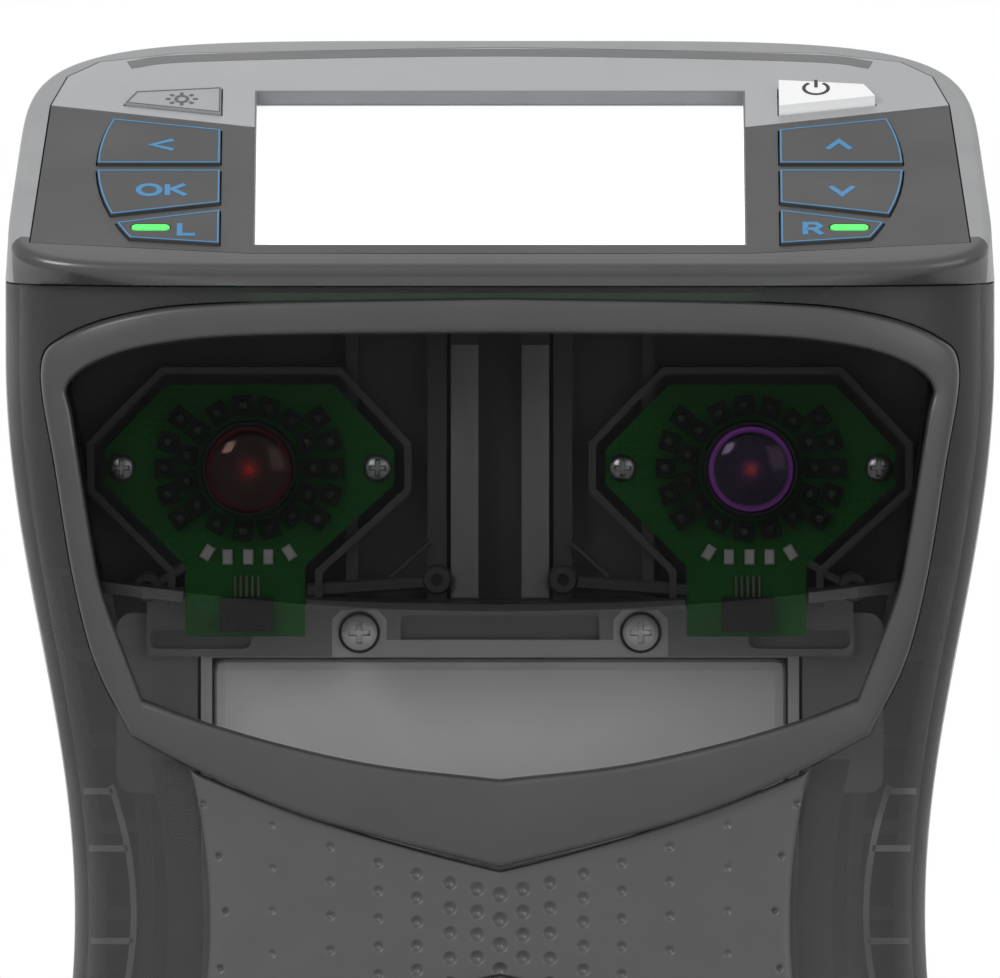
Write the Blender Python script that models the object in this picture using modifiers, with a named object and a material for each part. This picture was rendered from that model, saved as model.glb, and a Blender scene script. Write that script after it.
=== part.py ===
"""Golf launch monitor: an hourglass casing with a sloping key panel, two camera bays and a battery.

+Z is up, the cameras face -Y, and the origin is on the floor under the middle of the casing.
Lengths are in metres.
"""

import math

import bmesh
import bpy
from mathutils import Matrix, Vector

MM = 0.001
CLEAR = 0.3 * MM  # gap between pieces that touch

# Casing: an hourglass whose plan is a superellipse
HIP_HALF = 89.0 * MM
WAIST_HALF = 76.6 * MM
HIP_FRONT = 47.0 * MM
WAIST_FRONT = 43.0 * MM
HIP_BACK = 51.0 * MM
WAIST_BACK = 47.0 * MM
WAIST_Z = 162.0 * MM
WAIST_REACH = 101.0 * MM  # height over which the waist swells to the hips
SEAM_REACH = 114.3 * MM  # from the waist to the seams of the top housing and the base
FRONT_POWER = 5.0
BACK_POWER = 3.5
WALL = 2.5 * MM
SIDE = HIP_HALF / MM  # the hip and the waist in millimetres, which the outlines follow
WAIST = WAIST_Z / MM
SHELL_STEPS = 16
SHELL_LEVELS = 12

# Top housing and its sloping panel
LIP_Y = -47.0 * MM
LIP_RISE = 4.7 * MM  # height of the lip above the seam
LIP_Z = WAIST_Z + SEAM_REACH + LIP_RISE
PANEL_SLOPE = math.radians(28)
RIM_INSET = 2.1 * MM  # how far the rim lies inside the hip
RIM_HALF = HIP_HALF - RIM_INSET
RIM_SIDE = RIM_HALF / MM
RIM_TAPER = 0.69  # narrowing of the rim up the slope, per metre
RIM_CENTRE = 36.0 * MM
RIM_FRONT = 39.0 * MM
RIM_BACK = 43.5 * MM
RIM_FRONT_POWER = 8.0
RIM_BACK_POWER = 4.8
RIM_ROUND = 3.0 * MM
RIM_ROUND_STEPS = 3
HOUSING_FRONT = 50.0 * MM
HOUSING_BULGE = 2.0 * MM  # how far the back swells between the seam and the rim
LEDGE = 1.2 * MM  # shelf under the fascia's rim
DEEP_LEDGE = 3.5 * MM  # shelf under the keypad board
FASCIA_THICK = 1.6 * MM
FASCIA_HALF = [(0, 2.2), (45, 2.2), (RIM_SIDE - 2.8, 6.1), (RIM_SIDE - 6.0, 56.2), (RIM_SIDE - 8.9, 66.7),
               (RIM_SIDE - 14.6, 72.1), (RIM_SIDE - 28.8, 75.3), (0, 77.5)]

# Display, in the room that the two columns of keys leave
KEY_COLUMN = 36.6 * MM  # from the rim to the keys' inner edge
KEY_WEB = 6.1 * MM  # between the keys and the window
KEY_INNER = RIM_HALF - KEY_COLUMN
WINDOW_HALF = KEY_INNER - KEY_WEB
BAND_SIDE = 0.5 * MM  # past the window's side
BAND_LOW = 48.3 * MM
BAND_INNER = ((WINDOW_HALF + BAND_SIDE) / MM, BAND_LOW / MM)  # where the silver band's edge meets the display
WINDOW_LOW = 5.0 * MM
WINDOW_HIGH = 61.6 * MM
FRAME_RIM = 3.1 * MM
FRAME_LIP = 0.5 * MM
GLASS_MARGIN = 1.2 * MM
GLASS_THICK = 0.8 * MM
DISPLAY_THICK = 4.2 * MM

# Keys: four rows a side, closed on the outside by one arc
KEY_ROWS = ((5.0, 17.1, 7.0, 12.6), (19.8, 31.7, 15.5, 31.7), (34.2, 46.5, 34.2, 50.5),
            (52.6, 62.0, 56.2, 60.5))  # low and high edges at the inner end, then at the arc
KEY_ARC_RADIUS = 58.8 * MM
KEY_ARC_INSET = 14.5 * MM  # from the rim to the arc
KEY_ARC_X = RIM_HALF - KEY_ARC_INSET - KEY_ARC_RADIUS
KEY_ARC_U = 33.0 * MM
KEY_ARC_STEPS = 4
KEY_FLANGE = 0.8 * MM
KEY_FLANGE_THICK = 0.7 * MM
KEY_TRAVEL = 0.7 * MM
KEY_PROUD = 0.5 * MM
POWER_PROUD = 2.0 * MM
LIGHT_INSET = 12.3 * MM  # from the key's inner edge
LIGHT_U = 10.8 * MM
LIGHT_HALF = (3.4 * MM, 1.0 * MM)
LIGHT_DEPTH = 1.0 * MM
PILL_ROUND = 0.99  # corner radius of the light's pill as a share of its half height

# Boards behind the panel
KEYPAD_THICK = 1.4 * MM
STANDOFF_GAP = 5.2 * MM  # from the display's frame
STANDOFF_X = WINDOW_HALF + FRAME_RIM + STANDOFF_GAP
MAIN_BOARD_EDGE = 13.5 * MM  # outside the standoffs
MAIN_BOARD_HALF = STANDOFF_X + MAIN_BOARD_EDGE
MAIN_BOARD_LOW = 1.0 * MM
MAIN_BOARD_CHAMFER = 13.0 * MM
MAIN_BOARD_HIGH = 64.0 * MM
MAIN_BOARD_DEPTH = 10.4 * MM
MAIN_BOARD_THICK = 1.4 * MM
STANDOFF_RADIUS = 2.2 * MM
STANDOFF_ROWS = (12.0 * MM, 56.0 * MM)

# Visor: half outlines of the ring and the window in the front view, for the upper bay
VISOR_OUTER = [(x, WAIST + rise) for x, rise in (
    (0, 112), (48, 111.1), (SIDE - 23, 109.2), (SIDE - 11, 105), (SIDE - 6.8, 99), (SIDE - 9.4, 81),
    (SIDE - 12.6, 61.5), (SIDE - 16.5, 46.5), (SIDE - 23, 33.6), (SIDE - 35, 27.3), (38, 20.3), (21, 15.2),
    (0, 10))]
VISOR_INNER = [(x, WAIST + rise) for x, rise in (
    (0, 105.9), (41.7, 105.5), (SIDE - 29.4, 104.1), (SIDE - 18, 101.2), (SIDE - 11.7, 96.5),
    (SIDE - 12.5, 90), (SIDE - 16, 67.8), (SIDE - 18.3, 57.5), (SIDE - 25, 40), (SIDE - 36, 36), (38, 31.7),
    (21, 28.1), (0, 25.7))]
VISOR_PROUD = 4.0 * MM
VISOR_BEHIND = 3.0 * MM
WINDOW_PROUD = 2.0 * MM

# Camera bay behind the window
CHASSIS_HALF = [(x, WAIST + rise) for x, rise in (
    (0, 108), (44, 107.6), (SIDE - 26, 106), (SIDE - 14, 102.5), (SIDE - 10, 98), (SIDE - 14, 68),
    (SIDE - 16.4, 59), (50, 56.6), (25, 55.4), (0, 55))]
CHASSIS_WALL = 2.0 * MM
CHASSIS_BACK = 16.0 * MM
CHASSIS_FLOOR = 19.0 * MM
CAMERA_INSET = 44.0 * MM  # from the hip
CAMERA_X = HIP_HALF - CAMERA_INSET
CAMERA_RISE = 81.0 * MM  # above the waist
CAMERA_Z = WAIST_Z + CAMERA_RISE
BOARD_OUTLINE = [(-14.5, 15), (15.1, 15), (26, 3.3), (26, -3), (10, -17.6), (10, -30.3), (-11.5, -30.3),
                 (-11.5, -17.6), (-26, -3), (-26, 3.3), (-19.6, 10)]
BOARD_TAIL_LOW = -32.5 * MM
BOARD_TAIL_HIGH = -16.5 * MM
BOARD_STAND = 7.0 * MM  # height of the board above the chassis floor
BOARD_THICK = 1.6 * MM
BOARD_SCREW_X = 23.0 * MM
BOSS_RADIUS = 2.6 * MM
POCKET_GAP = 1.8 * MM
POCKET_RIM = 1.3 * MM
LED_HALF = 1.7 * MM
LED_HEIGHT = 1.5 * MM
INNER_LEDS = 15
INNER_LED_RADIUS = 11.4 * MM
OUTER_LED_RADIUS = 15.3 * MM
OUTER_LED_STEP = math.radians(18)
CONNECTOR = ((-5.1, -29.3), (4.1, -23.3))
CONNECTOR_HEIGHT = 3.2 * MM
RIB_PLACES = ((26.6, 2.1), (11.3, 3.4), (6.3, 5.2))
RIB_HEIGHT = 6.0 * MM
LENS_RADIUS = 8.8 * MM
LENS_WALL = 0.8 * MM
LENS_HEIGHT = 7.0 * MM
LENS_FLOOR = 2.0 * MM
LENS_DOME = 2.2 * MM
DOME_TILTS = (0.5, 0.9, 1.3)  # radians up the dome
ROUND_STEPS = 24

# Battery, its tray and the bracket
BATTERY_HALF = 51.5 * MM
BATTERY_REACH = 46.1 * MM  # half its height
BATTERY_FRONT = 15.5 * MM
BATTERY_BACK = 23.7 * MM
BATTERY_ROUND = 2.0 * MM
TRAY_WALL = 2.0 * MM
POST_RADIUS = 4.0 * MM
POST_X = 42.0 * MM
POST_REACH = 37.0 * MM
BRACKET_THICK = 2.0 * MM
BRACKET_HEIGHT = 8.7 * MM
BRACKET_BAR = 3.0 * MM
TAB_INNER = 20.4 * MM
TAB_OUTER = 30.2 * MM
TAB_CHAMFER = 2.0 * MM
SCREW_HEAD = 3.2 * MM
SCREW_HEIGHT = 2.0 * MM
SCREW_SHANK = 1.4 * MM
SCREW_CROWN = 0.7  # share of the head's radius that its flat top takes

# Dimpled cover at the waist
COVER_PROUD = 1.6 * MM
COVER_HALF = 52.0 * MM
COVER_FLARE = 4.5  # flare of its sides, per metre
COVER_STEPS = 6

# Side frames
FRAME_DEPTH = 11.0 * MM
FRAME_GAP = 0.7 * MM  # room for the wall's curve
FRAME_BAR = 2.4 * MM
FRAME_HALF_THICK = 6.0 * MM
FRAME_REACH = 62.0 * MM
FRAME_RUNGS = 8

# Rear door and ports
DOOR_HALF = 34.0 * MM
DOOR_REACH = 46.0 * MM
DOOR_ROUND = 6.0 * MM
PORT_HALF = 27.0 * MM
PORT_DROP = 90.0 * MM  # below the waist
PORT_Z = WAIST_Z - PORT_DROP
PORT_HALF_HEIGHT = 9.0 * MM
PORT_ROUND = 3.0 * MM
PORT_SOCKETS = ((-16, 8, 10), (0, 9, 4), (15, 12, 9))  # centre, width and height
PORT_DEPTH = 1.6 * MM

# Base and feet
BASE_BOTTOM = 4.0 * MM
BASE_FRONT = 49.5 * MM
BASE_FLOOR = 3.0 * MM
BASE_ROUND = 6.0 * MM
FOOT_RADIUS = 9.0 * MM
FOOT_SEAT = 1.0 * MM
FOOT_CHAMFER = 0.8 * MM
FOOT_INSET = 29.0 * MM  # from the hip
FOOT_X = HIP_HALF - FOOT_INSET
FOOT_Y = 30.0 * MM

TOP_SEAM = WAIST_Z + SEAM_REACH
BASE_SEAM = WAIST_Z - SEAM_REACH
FRONT_VIEW = Matrix(((1, 0, 0, 0), (0, 0, -1, 0), (0, 1, 0, 0), (0, 0, 0, 1)))
PANEL = Matrix.Translation((0, LIP_Y, LIP_Z)) @ Matrix.Rotation(PANEL_SLOPE, 4, "X")
HALF_TURN = (Matrix.Translation((0, 0, WAIST_Z)) @ Matrix.Rotation(math.pi, 4, "Y")
             @ Matrix.Translation((0, 0, -WAIST_Z)))
FAR = 200.0 * MM

FINISHES = {
    "light_shell": ("#9fa1a3", 0.4, 0.0),
    "dark_shell": ("#4a4b4d", 0.45, 0.0),
    "silver": ("#acaeb0", 0.35, 0.6),
    "key_dark": ("#5f5f5f", 0.5, 0.0),
    "key_white": ("#f2f2f2", 0.4, 0.0),
    "green_light": ("#62f675", 0.3, 0.0),
    "screen": ("#f6f8f8", 0.2, 0.0),
    "visor": ("#58585a", 0.35, 0.0),
    "window": ("#2a2a2c", 0.08, 0.0),
    "black": ("#1b1b1c", 0.5, 0.0),
    "board_green": ("#1f4a2a", 0.45, 0.0),
    "lens_glass": ("#3a1218", 0.05, 0.0),
    "battery_grey": ("#7b7b7b", 0.5, 0.0),
    "steel": ("#8a8c8e", 0.35, 1.0),
    "rubber": ("#202022", 0.8, 0.0),
}


def linear(channel):
    """One sRGB channel from 0 to 1 as a linear value."""
    return channel / 12.92 if channel <= 0.04045 else ((channel + 0.055) / 1.055) ** 2.4


def make_materials():
    """A Principled BSDF for each finish."""
    made = {}
    for name, (colour, roughness, metallic) in FINISHES.items():
        material = bpy.data.materials.new(name)
        material.use_nodes = True
        shader = material.node_tree.nodes["Principled BSDF"]
        channels = [linear(int(colour[place:place + 2], 16) / 255) for place in (1, 3, 5)]
        shader.inputs["Base Color"].default_value = (*channels, 1)
        shader.inputs["Roughness"].default_value = roughness
        shader.inputs["Metallic"].default_value = metallic
        made[name] = material
    return made


for old in list(bpy.data.objects):
    bpy.data.objects.remove(old)
PARTS = bpy.data.collections.new("launch_monitor")
CUTTERS = bpy.data.collections.new("cutters")
bpy.context.scene.collection.children.link(PARTS)
bpy.context.scene.collection.children.link(CUTTERS)
MATERIALS = make_materials()


def part(name, shape, finish, origin=(0, 0, 0)):
    """A named piece from a bmesh, with its own origin."""
    bmesh.ops.translate(shape, vec=-Vector(origin), verts=shape.verts)
    mesh = bpy.data.meshes.new(name)
    shape.to_mesh(mesh)
    shape.free()
    mesh.materials.append(MATERIALS[finish])
    piece = bpy.data.objects.new(name, mesh)
    piece.location = origin
    PARTS.objects.link(piece)
    return piece


def tool(name, shape):
    """A hidden cutter or addition from a bmesh."""
    mesh = bpy.data.meshes.new(name)
    shape.to_mesh(mesh)
    shape.free()
    piece = bpy.data.objects.new(name, mesh)
    piece.hide_render = True
    piece.display_type = "WIRE"
    CUTTERS.objects.link(piece)
    return piece


def combine(piece, operation, shape):
    """Adds a Boolean of the piece with a bmesh."""
    modifier = piece.modifiers.new(operation.lower(), "BOOLEAN")
    modifier.operation = operation
    modifier.object = tool(f"{piece.name}_{operation.lower()}_{len(piece.modifiers)}", shape)


def rounded(piece, width, segments=2):
    """Rounds the sharp edges of a piece."""
    modifier = piece.modifiers.new("round", "BEVEL")
    modifier.width = width
    modifier.segments = segments
    modifier.limit_method = "ANGLE"
    modifier.angle_limit = math.radians(40)


def loft(loops, closed=False):
    """A body through loops of equal count, capped at both ends or closed on itself."""
    shape = bmesh.new()
    rings = [[shape.verts.new(point) for point in loop] for loop in loops]
    pairs = list(zip(rings, rings[1:]))
    if closed:
        pairs.append((rings[-1], rings[0]))
    for low, high in pairs:
        for place in range(len(low)):
            after = (place + 1) % len(low)
            shape.faces.new((low[place], low[after], high[after], high[place]))
    if not closed:
        shape.faces.new(list(reversed(rings[0])))
        shape.faces.new(rings[-1])
    bmesh.ops.recalc_face_normals(shape, faces=shape.faces)
    return shape


def flat_loop(outline, height, frame):
    """An outline in the XY plane of a frame, at a height along its Z."""
    return [frame @ Vector((x, y, height)) for x, y in outline]


def prism(outline, low, high, frame):
    """An outline in the XY plane of a frame, extruded from low to high along its Z."""
    return loft([flat_loop(outline, low, frame), flat_loop(outline, high, frame)])


def ring_prism(outer, inner, low, high, frame):
    """A prism between two outlines of equal count."""
    return loft([flat_loop(outer, low, frame), flat_loop(outer, high, frame),
                 flat_loop(inner, high, frame), flat_loop(inner, low, frame)], closed=True)


def block(corner, opposite, low, high, frame):
    """A box on two opposite corners in the XY plane of a frame."""
    (left, bottom), (right, top) = corner, opposite
    return prism([(left, bottom), (right, bottom), (right, top), (left, top)], low, high, frame)


def circle(radius, centre=(0, 0), steps=ROUND_STEPS):
    """Points of a circle in a plane."""
    turns = [2 * math.pi * step / steps for step in range(steps)]
    return [(centre[0] + radius * math.cos(turn), centre[1] + radius * math.sin(turn)) for turn in turns]


def turned(profile, frame, steps=ROUND_STEPS):
    """A body turned about the Z axis of a frame, through (radius, height) points off the axis."""
    return loft([flat_loop(circle(radius, steps=steps), height, frame) for radius, height in profile])


def gather(shapes):
    """Several separate bodies in one bmesh."""
    whole = bmesh.new()
    for shape in shapes:
        mesh = bpy.data.meshes.new("gathered")
        shape.to_mesh(mesh)
        shape.free()
        whole.from_mesh(mesh)
        bpy.data.meshes.remove(mesh)
    return whole


def mirrored(half):
    """A full outline in metres from its right half in millimetres, ends on the middle line."""
    right = [(x * MM, y * MM) for x, y in half]
    return right + [(-x, y) for x, y in reversed(right) if x > 0]


def grown(outline, distance):
    """The outline moved outwards, each corner along its bisector."""
    count = len(outline)
    area = sum(outline[place - 1][0] * outline[place][1] - outline[place][0] * outline[place - 1][1]
               for place in range(count))
    turn = math.copysign(1, area)
    result = []
    for place in range(count):
        here = Vector(outline[place])
        before = (here - Vector(outline[place - 1])).normalized()
        after = (Vector(outline[(place + 1) % count]) - here).normalized()
        normals = [turn * Vector((side.y, -side.x)) for side in (before, after)]
        middle = normals[0] + normals[1]
        result.append(tuple(here + middle * (2 * distance / middle.length_squared)))
    return result


def rounded_box(half_width, half_height, radius, centre, steps=4):
    """A rectangle with round corners."""
    points = []
    for corner, (side, up) in enumerate(((1, 1), (-1, 1), (-1, -1), (1, -1))):
        middle = (centre[0] + side * (half_width - radius), centre[1] + up * (half_height - radius))
        for step in range(steps + 1):
            turn = (corner + step / steps) * math.pi / 2
            points.append((middle[0] + radius * math.cos(turn), middle[1] + radius * math.sin(turn)))
    return points


def swell(z):
    """0 at the waist and 1 at the hips, on a cosine between them."""
    reach = min(abs(z - WAIST_Z), WAIST_REACH)
    return (1 - math.cos(math.pi * reach / WAIST_REACH)) / 2


def half_width(z):
    """Half the casing's width at a height."""
    return WAIST_HALF + (HIP_HALF - WAIST_HALF) * swell(z)


def casing_depth(z, back):
    """The casing's depth behind or before its middle plane at a height."""
    waist, hip = (WAIST_BACK, HIP_BACK) if back else (WAIST_FRONT, HIP_FRONT)
    return waist + (hip - waist) * swell(z)


def plan(half, front, back, powers, start, end, steps):
    """Points of a superellipse from +X round by +Y, between two angles; powers are front and back."""
    points = []
    for step in range(steps + 1):
        turn = start + (end - start) * step / steps
        across, along = math.cos(turn), math.sin(turn)
        depth, power = (back, powers[1]) if along > 0 else (front, powers[0])
        points.append((half * math.copysign(abs(across) ** (2 / power), across),
                       depth * math.copysign(abs(along) ** (2 / power), along)))
    return points


def whole_plan(half, front, back, powers):
    """A closed superellipse."""
    return plan(half, front, back, powers, 0, 2 * math.pi, 2 * SHELL_STEPS)[:-1]


def half_plan(z, offset, back):
    """The casing's front or back half in plan, moved outwards by an offset."""
    start = 0 if back else math.pi
    points = plan(half_width(z) + offset, casing_depth(z, False) + offset, casing_depth(z, True) + offset,
                  (FRONT_POWER, BACK_POWER), start, start + math.pi, SHELL_STEPS)
    ends = [points[0], points[-1]]
    points[0], points[-1] = [(x, 0) for x, _ in ends]
    shift = CLEAR / 2 if back else -CLEAR / 2
    return [(x, y + shift) for x, y in points]


def levels(low, high):
    """Heights of a shell's rings."""
    return [low + (high - low) * step / SHELL_LEVELS for step in range(SHELL_LEVELS + 1)]


def half_shell(low, high, outer, inner, back):
    """Half of the casing's wall between two offsets."""
    loops = []
    for z in levels(low, high):
        loop = half_plan(z, outer, back) + list(reversed(half_plan(z, inner, back)))
        loops.append([(x, y, z) for x, y in loop])
    return loft(loops)


def half_solid(low, high, offset, back):
    """Half of the casing's inside, closed by its middle plane."""
    return loft([[(x, y, z) for x, y in half_plan(z, offset, back)] for z in levels(low, high)])


def inside_depth(x, z, offset, back):
    """Depth of the casing's surface, moved by an offset, at a point of the front view."""
    share = abs(x) / (half_width(z) + offset)
    power = BACK_POWER if back else FRONT_POWER
    return (casing_depth(z, back) + offset) * (1 - share ** power) ** (1 / power)


def rim_loop(inset, depth):
    """The panel's rim, drawn in by an inset, at a depth under the panel."""
    powers = (RIM_FRONT_POWER, RIM_BACK_POWER)
    points = whole_plan(RIM_HALF - inset, RIM_FRONT - inset, RIM_BACK - inset, powers)
    return flat_loop([(x * (1 - RIM_TAPER * u), RIM_CENTRE + u) for x, u in points], -depth, PANEL)


def make_housing():
    """The top housing: a cap from the seam to the rounded rim, with the shelves that hold the panel."""
    low = TOP_SEAM + CLEAR
    outline = whole_plan(HIP_HALF, HOUSING_FRONT, HIP_BACK, (FRONT_POWER, BACK_POWER))
    foot = [Vector((x, y, low)) for x, y in outline]
    crown = rim_loop(0, RIM_ROUND)
    middle = [(bottom + top) / 2 + Vector((0, HOUSING_BULGE * (bottom.y > 0), 0))
              for bottom, top in zip(foot, crown)]
    loops = [foot, middle, crown]
    for step in range(1, RIM_ROUND_STEPS + 1):
        turn = math.pi / 2 * step / RIM_ROUND_STEPS
        loops.append(rim_loop(RIM_ROUND * (1 - math.cos(turn)), RIM_ROUND * (1 - math.sin(turn))))
    housing = part("top_housing", loft(loops), "light_shell")
    fascia = mirrored(FASCIA_HALF)
    seat = -FASCIA_THICK - CLEAR
    keypad_seat = keypad_top() - KEYPAD_THICK - CLEAR
    combine(housing, "DIFFERENCE", prism(grown(fascia, CLEAR), seat, FAR, PANEL))
    combine(housing, "DIFFERENCE", prism(grown(fascia, -LEDGE), keypad_seat, FAR, PANEL))
    combine(housing, "DIFFERENCE", prism(grown(fascia, -DEEP_LEDGE), -FAR, FAR, PANEL))
    combine(housing, "DIFFERENCE", block(*display_rim(FRAME_RIM + CLEAR), -FAR, seat, PANEL))
    wide = MAIN_BOARD_HALF + LEDGE
    combine(housing, "DIFFERENCE", block((-wide, MAIN_BOARD_LOW - LEDGE / 2), (wide, MAIN_BOARD_HIGH / 2),
                                         -FAR, keypad_seat, PANEL))


def keypad_top():
    """Height of the keypad board's face under the panel."""
    return -FASCIA_THICK - CLEAR - KEY_FLANGE_THICK - KEY_TRAVEL - CLEAR


def key_rows():
    """The four rows of keys: low and high edges at the inner end, then at the outer arc."""
    return [[edge * MM for edge in row] for row in KEY_ROWS]


def key_outline(row, side, growth):
    """One key's outline on the panel: straight edges and the shared outer arc."""
    low_in, high_in, low_out, high_out = row
    points = [(KEY_INNER, low_in)]
    for step in range(KEY_ARC_STEPS + 1):
        u = low_out + (high_out - low_out) * step / KEY_ARC_STEPS
        points.append((KEY_ARC_X + math.sqrt(KEY_ARC_RADIUS ** 2 - (u - KEY_ARC_U) ** 2), u))
    points.append((KEY_INNER, high_in))
    return [(side * x, u) for x, u in grown(points, growth)]


def make_panel():
    """The silver band and the dark key fascia, open for the display and the keys."""
    dark = [point for point in FASCIA_HALF if point[1] < BAND_INNER[1]]
    silver = [point for point in FASCIA_HALF if point[1] > BAND_INNER[1]]
    gap = 2 * CLEAR / MM
    side = Vector(silver[0]) - Vector(dark[-1])
    corner = Vector(silver[0]) - side * (gap / side.y)
    inner = (BAND_INNER[0], BAND_INNER[1] - gap)
    low_half = dark + [tuple(corner), inner, (0, inner[1])]
    high_half = [(0, BAND_INNER[1]), BAND_INNER] + silver
    window = ((-WINDOW_HALF, WINDOW_LOW), (WINDOW_HALF, WINDOW_HIGH))
    rows = key_rows()
    for name, half, finish, held in (("key_fascia", low_half, "key_dark", rows[:3]),
                                     ("silver_band", high_half, "silver", rows[3:])):
        plate = part(name, prism(mirrored(half), -FASCIA_THICK, 0, PANEL), finish)
        combine(plate, "DIFFERENCE", block(*window, -FAR, FAR, PANEL))
        openings = [prism(key_outline(row, side, CLEAR), -FAR, FAR, PANEL) for row in held for side in (-1, 1)]
        combine(plate, "DIFFERENCE", gather(openings))


def make_keys():
    """Eight keys, each a cap through the fascia with a flange under it, and the lights in the lowest two."""
    names = {-1: ("left_hand_key", "ok_key", "back_key", "backlight_key"),
             1: ("right_hand_key", "down_key", "up_key", "power_key")}
    bottom = -FASCIA_THICK - CLEAR
    for side, side_names in names.items():
        for name, row in zip(side_names, key_rows()):
            proud = POWER_PROUD if name == "power_key" else KEY_PROUD
            outline = key_outline(row, side, 0)
            flange = key_outline(row, side, KEY_FLANGE)
            middle = sum((Vector(point) for point in outline), Vector((0, 0))) / len(outline)
            origin = PANEL @ Vector((*middle, 0))
            loops = [flat_loop(flange, bottom - KEY_FLANGE_THICK, PANEL), flat_loop(flange, bottom, PANEL),
                     flat_loop(outline, bottom, PANEL), flat_loop(outline, proud, PANEL)]
            finish = "key_white" if name == "power_key" else "key_dark"
            key = part(name, loft(loops), finish, origin)
            if "hand" in name:
                place_light(key, name.split("_")[0], side, origin)


def place_light(key, name, side, origin):
    """A pill-shaped light set into the top of a key."""
    centre = (side * (KEY_INNER + LIGHT_INSET), LIGHT_U)
    pill = rounded_box(*LIGHT_HALF, LIGHT_HALF[1] * PILL_ROUND, centre)
    floor = KEY_PROUD - LIGHT_DEPTH
    pocket = prism(grown(pill, CLEAR), floor, FAR, PANEL)
    bmesh.ops.translate(pocket, vec=-origin, verts=pocket.verts)
    combine(key, "DIFFERENCE", pocket)
    key.modifiers[-1].object.location = origin
    part(f"{name}_key_light", prism(pill, floor + CLEAR, KEY_PROUD, PANEL), "green_light", origin)


def display_rim(margin):
    """Corners of the display's window with a margin round it."""
    return (-WINDOW_HALF - margin, WINDOW_LOW - margin), (WINDOW_HALF + margin, WINDOW_HIGH + margin)


def make_display():
    """The display's frame, cover glass and module, and the boards behind them."""
    top = -FASCIA_THICK - CLEAR
    lip = top - FRAME_LIP
    glass_top = lip - CLEAR
    module_top = glass_top - GLASS_THICK - CLEAR
    bottom = module_top - DISPLAY_THICK
    frame = part("display_frame", block(*display_rim(FRAME_RIM), bottom, top, PANEL), "key_dark")
    combine(frame, "DIFFERENCE", block(*display_rim(0), -FAR, FAR, PANEL))
    combine(frame, "DIFFERENCE", block(*display_rim(GLASS_MARGIN + CLEAR), -FAR, lip, PANEL))
    part("display_glass", block(*display_rim(GLASS_MARGIN), glass_top - GLASS_THICK, glass_top, PANEL), "window")
    part("display_module", block(*display_rim(GLASS_MARGIN), bottom, module_top, PANEL), "screen")

    face = keypad_top()
    keypad = part("keypad_board", prism(grown(mirrored(FASCIA_HALF), -LEDGE - CLEAR), face - KEYPAD_THICK, face,
                                        PANEL), "board_green")
    combine(keypad, "DIFFERENCE", block(*display_rim(FRAME_RIM + CLEAR), -FAR, FAR, PANEL))

    low = -MAIN_BOARD_DEPTH - MAIN_BOARD_THICK
    cut = MAIN_BOARD_HALF - MAIN_BOARD_CHAMFER
    shoulder = MAIN_BOARD_LOW + MAIN_BOARD_CHAMFER
    outline = [(-cut, MAIN_BOARD_LOW), (cut, MAIN_BOARD_LOW), (MAIN_BOARD_HALF, shoulder),
               (MAIN_BOARD_HALF, MAIN_BOARD_HIGH), (-MAIN_BOARD_HALF, MAIN_BOARD_HIGH), (-MAIN_BOARD_HALF, shoulder)]
    board = part("main_board", prism(outline, low, -MAIN_BOARD_DEPTH, PANEL), "board_green")
    reach = face - KEYPAD_THICK - CLEAR
    posts = [prism(circle(STANDOFF_RADIUS, (side * STANDOFF_X, row), 10), low + MAIN_BOARD_THICK / 2, reach, PANEL)
             for side in (-1, 1) for row in STANDOFF_ROWS]
    combine(board, "UNION", gather(posts))


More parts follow.
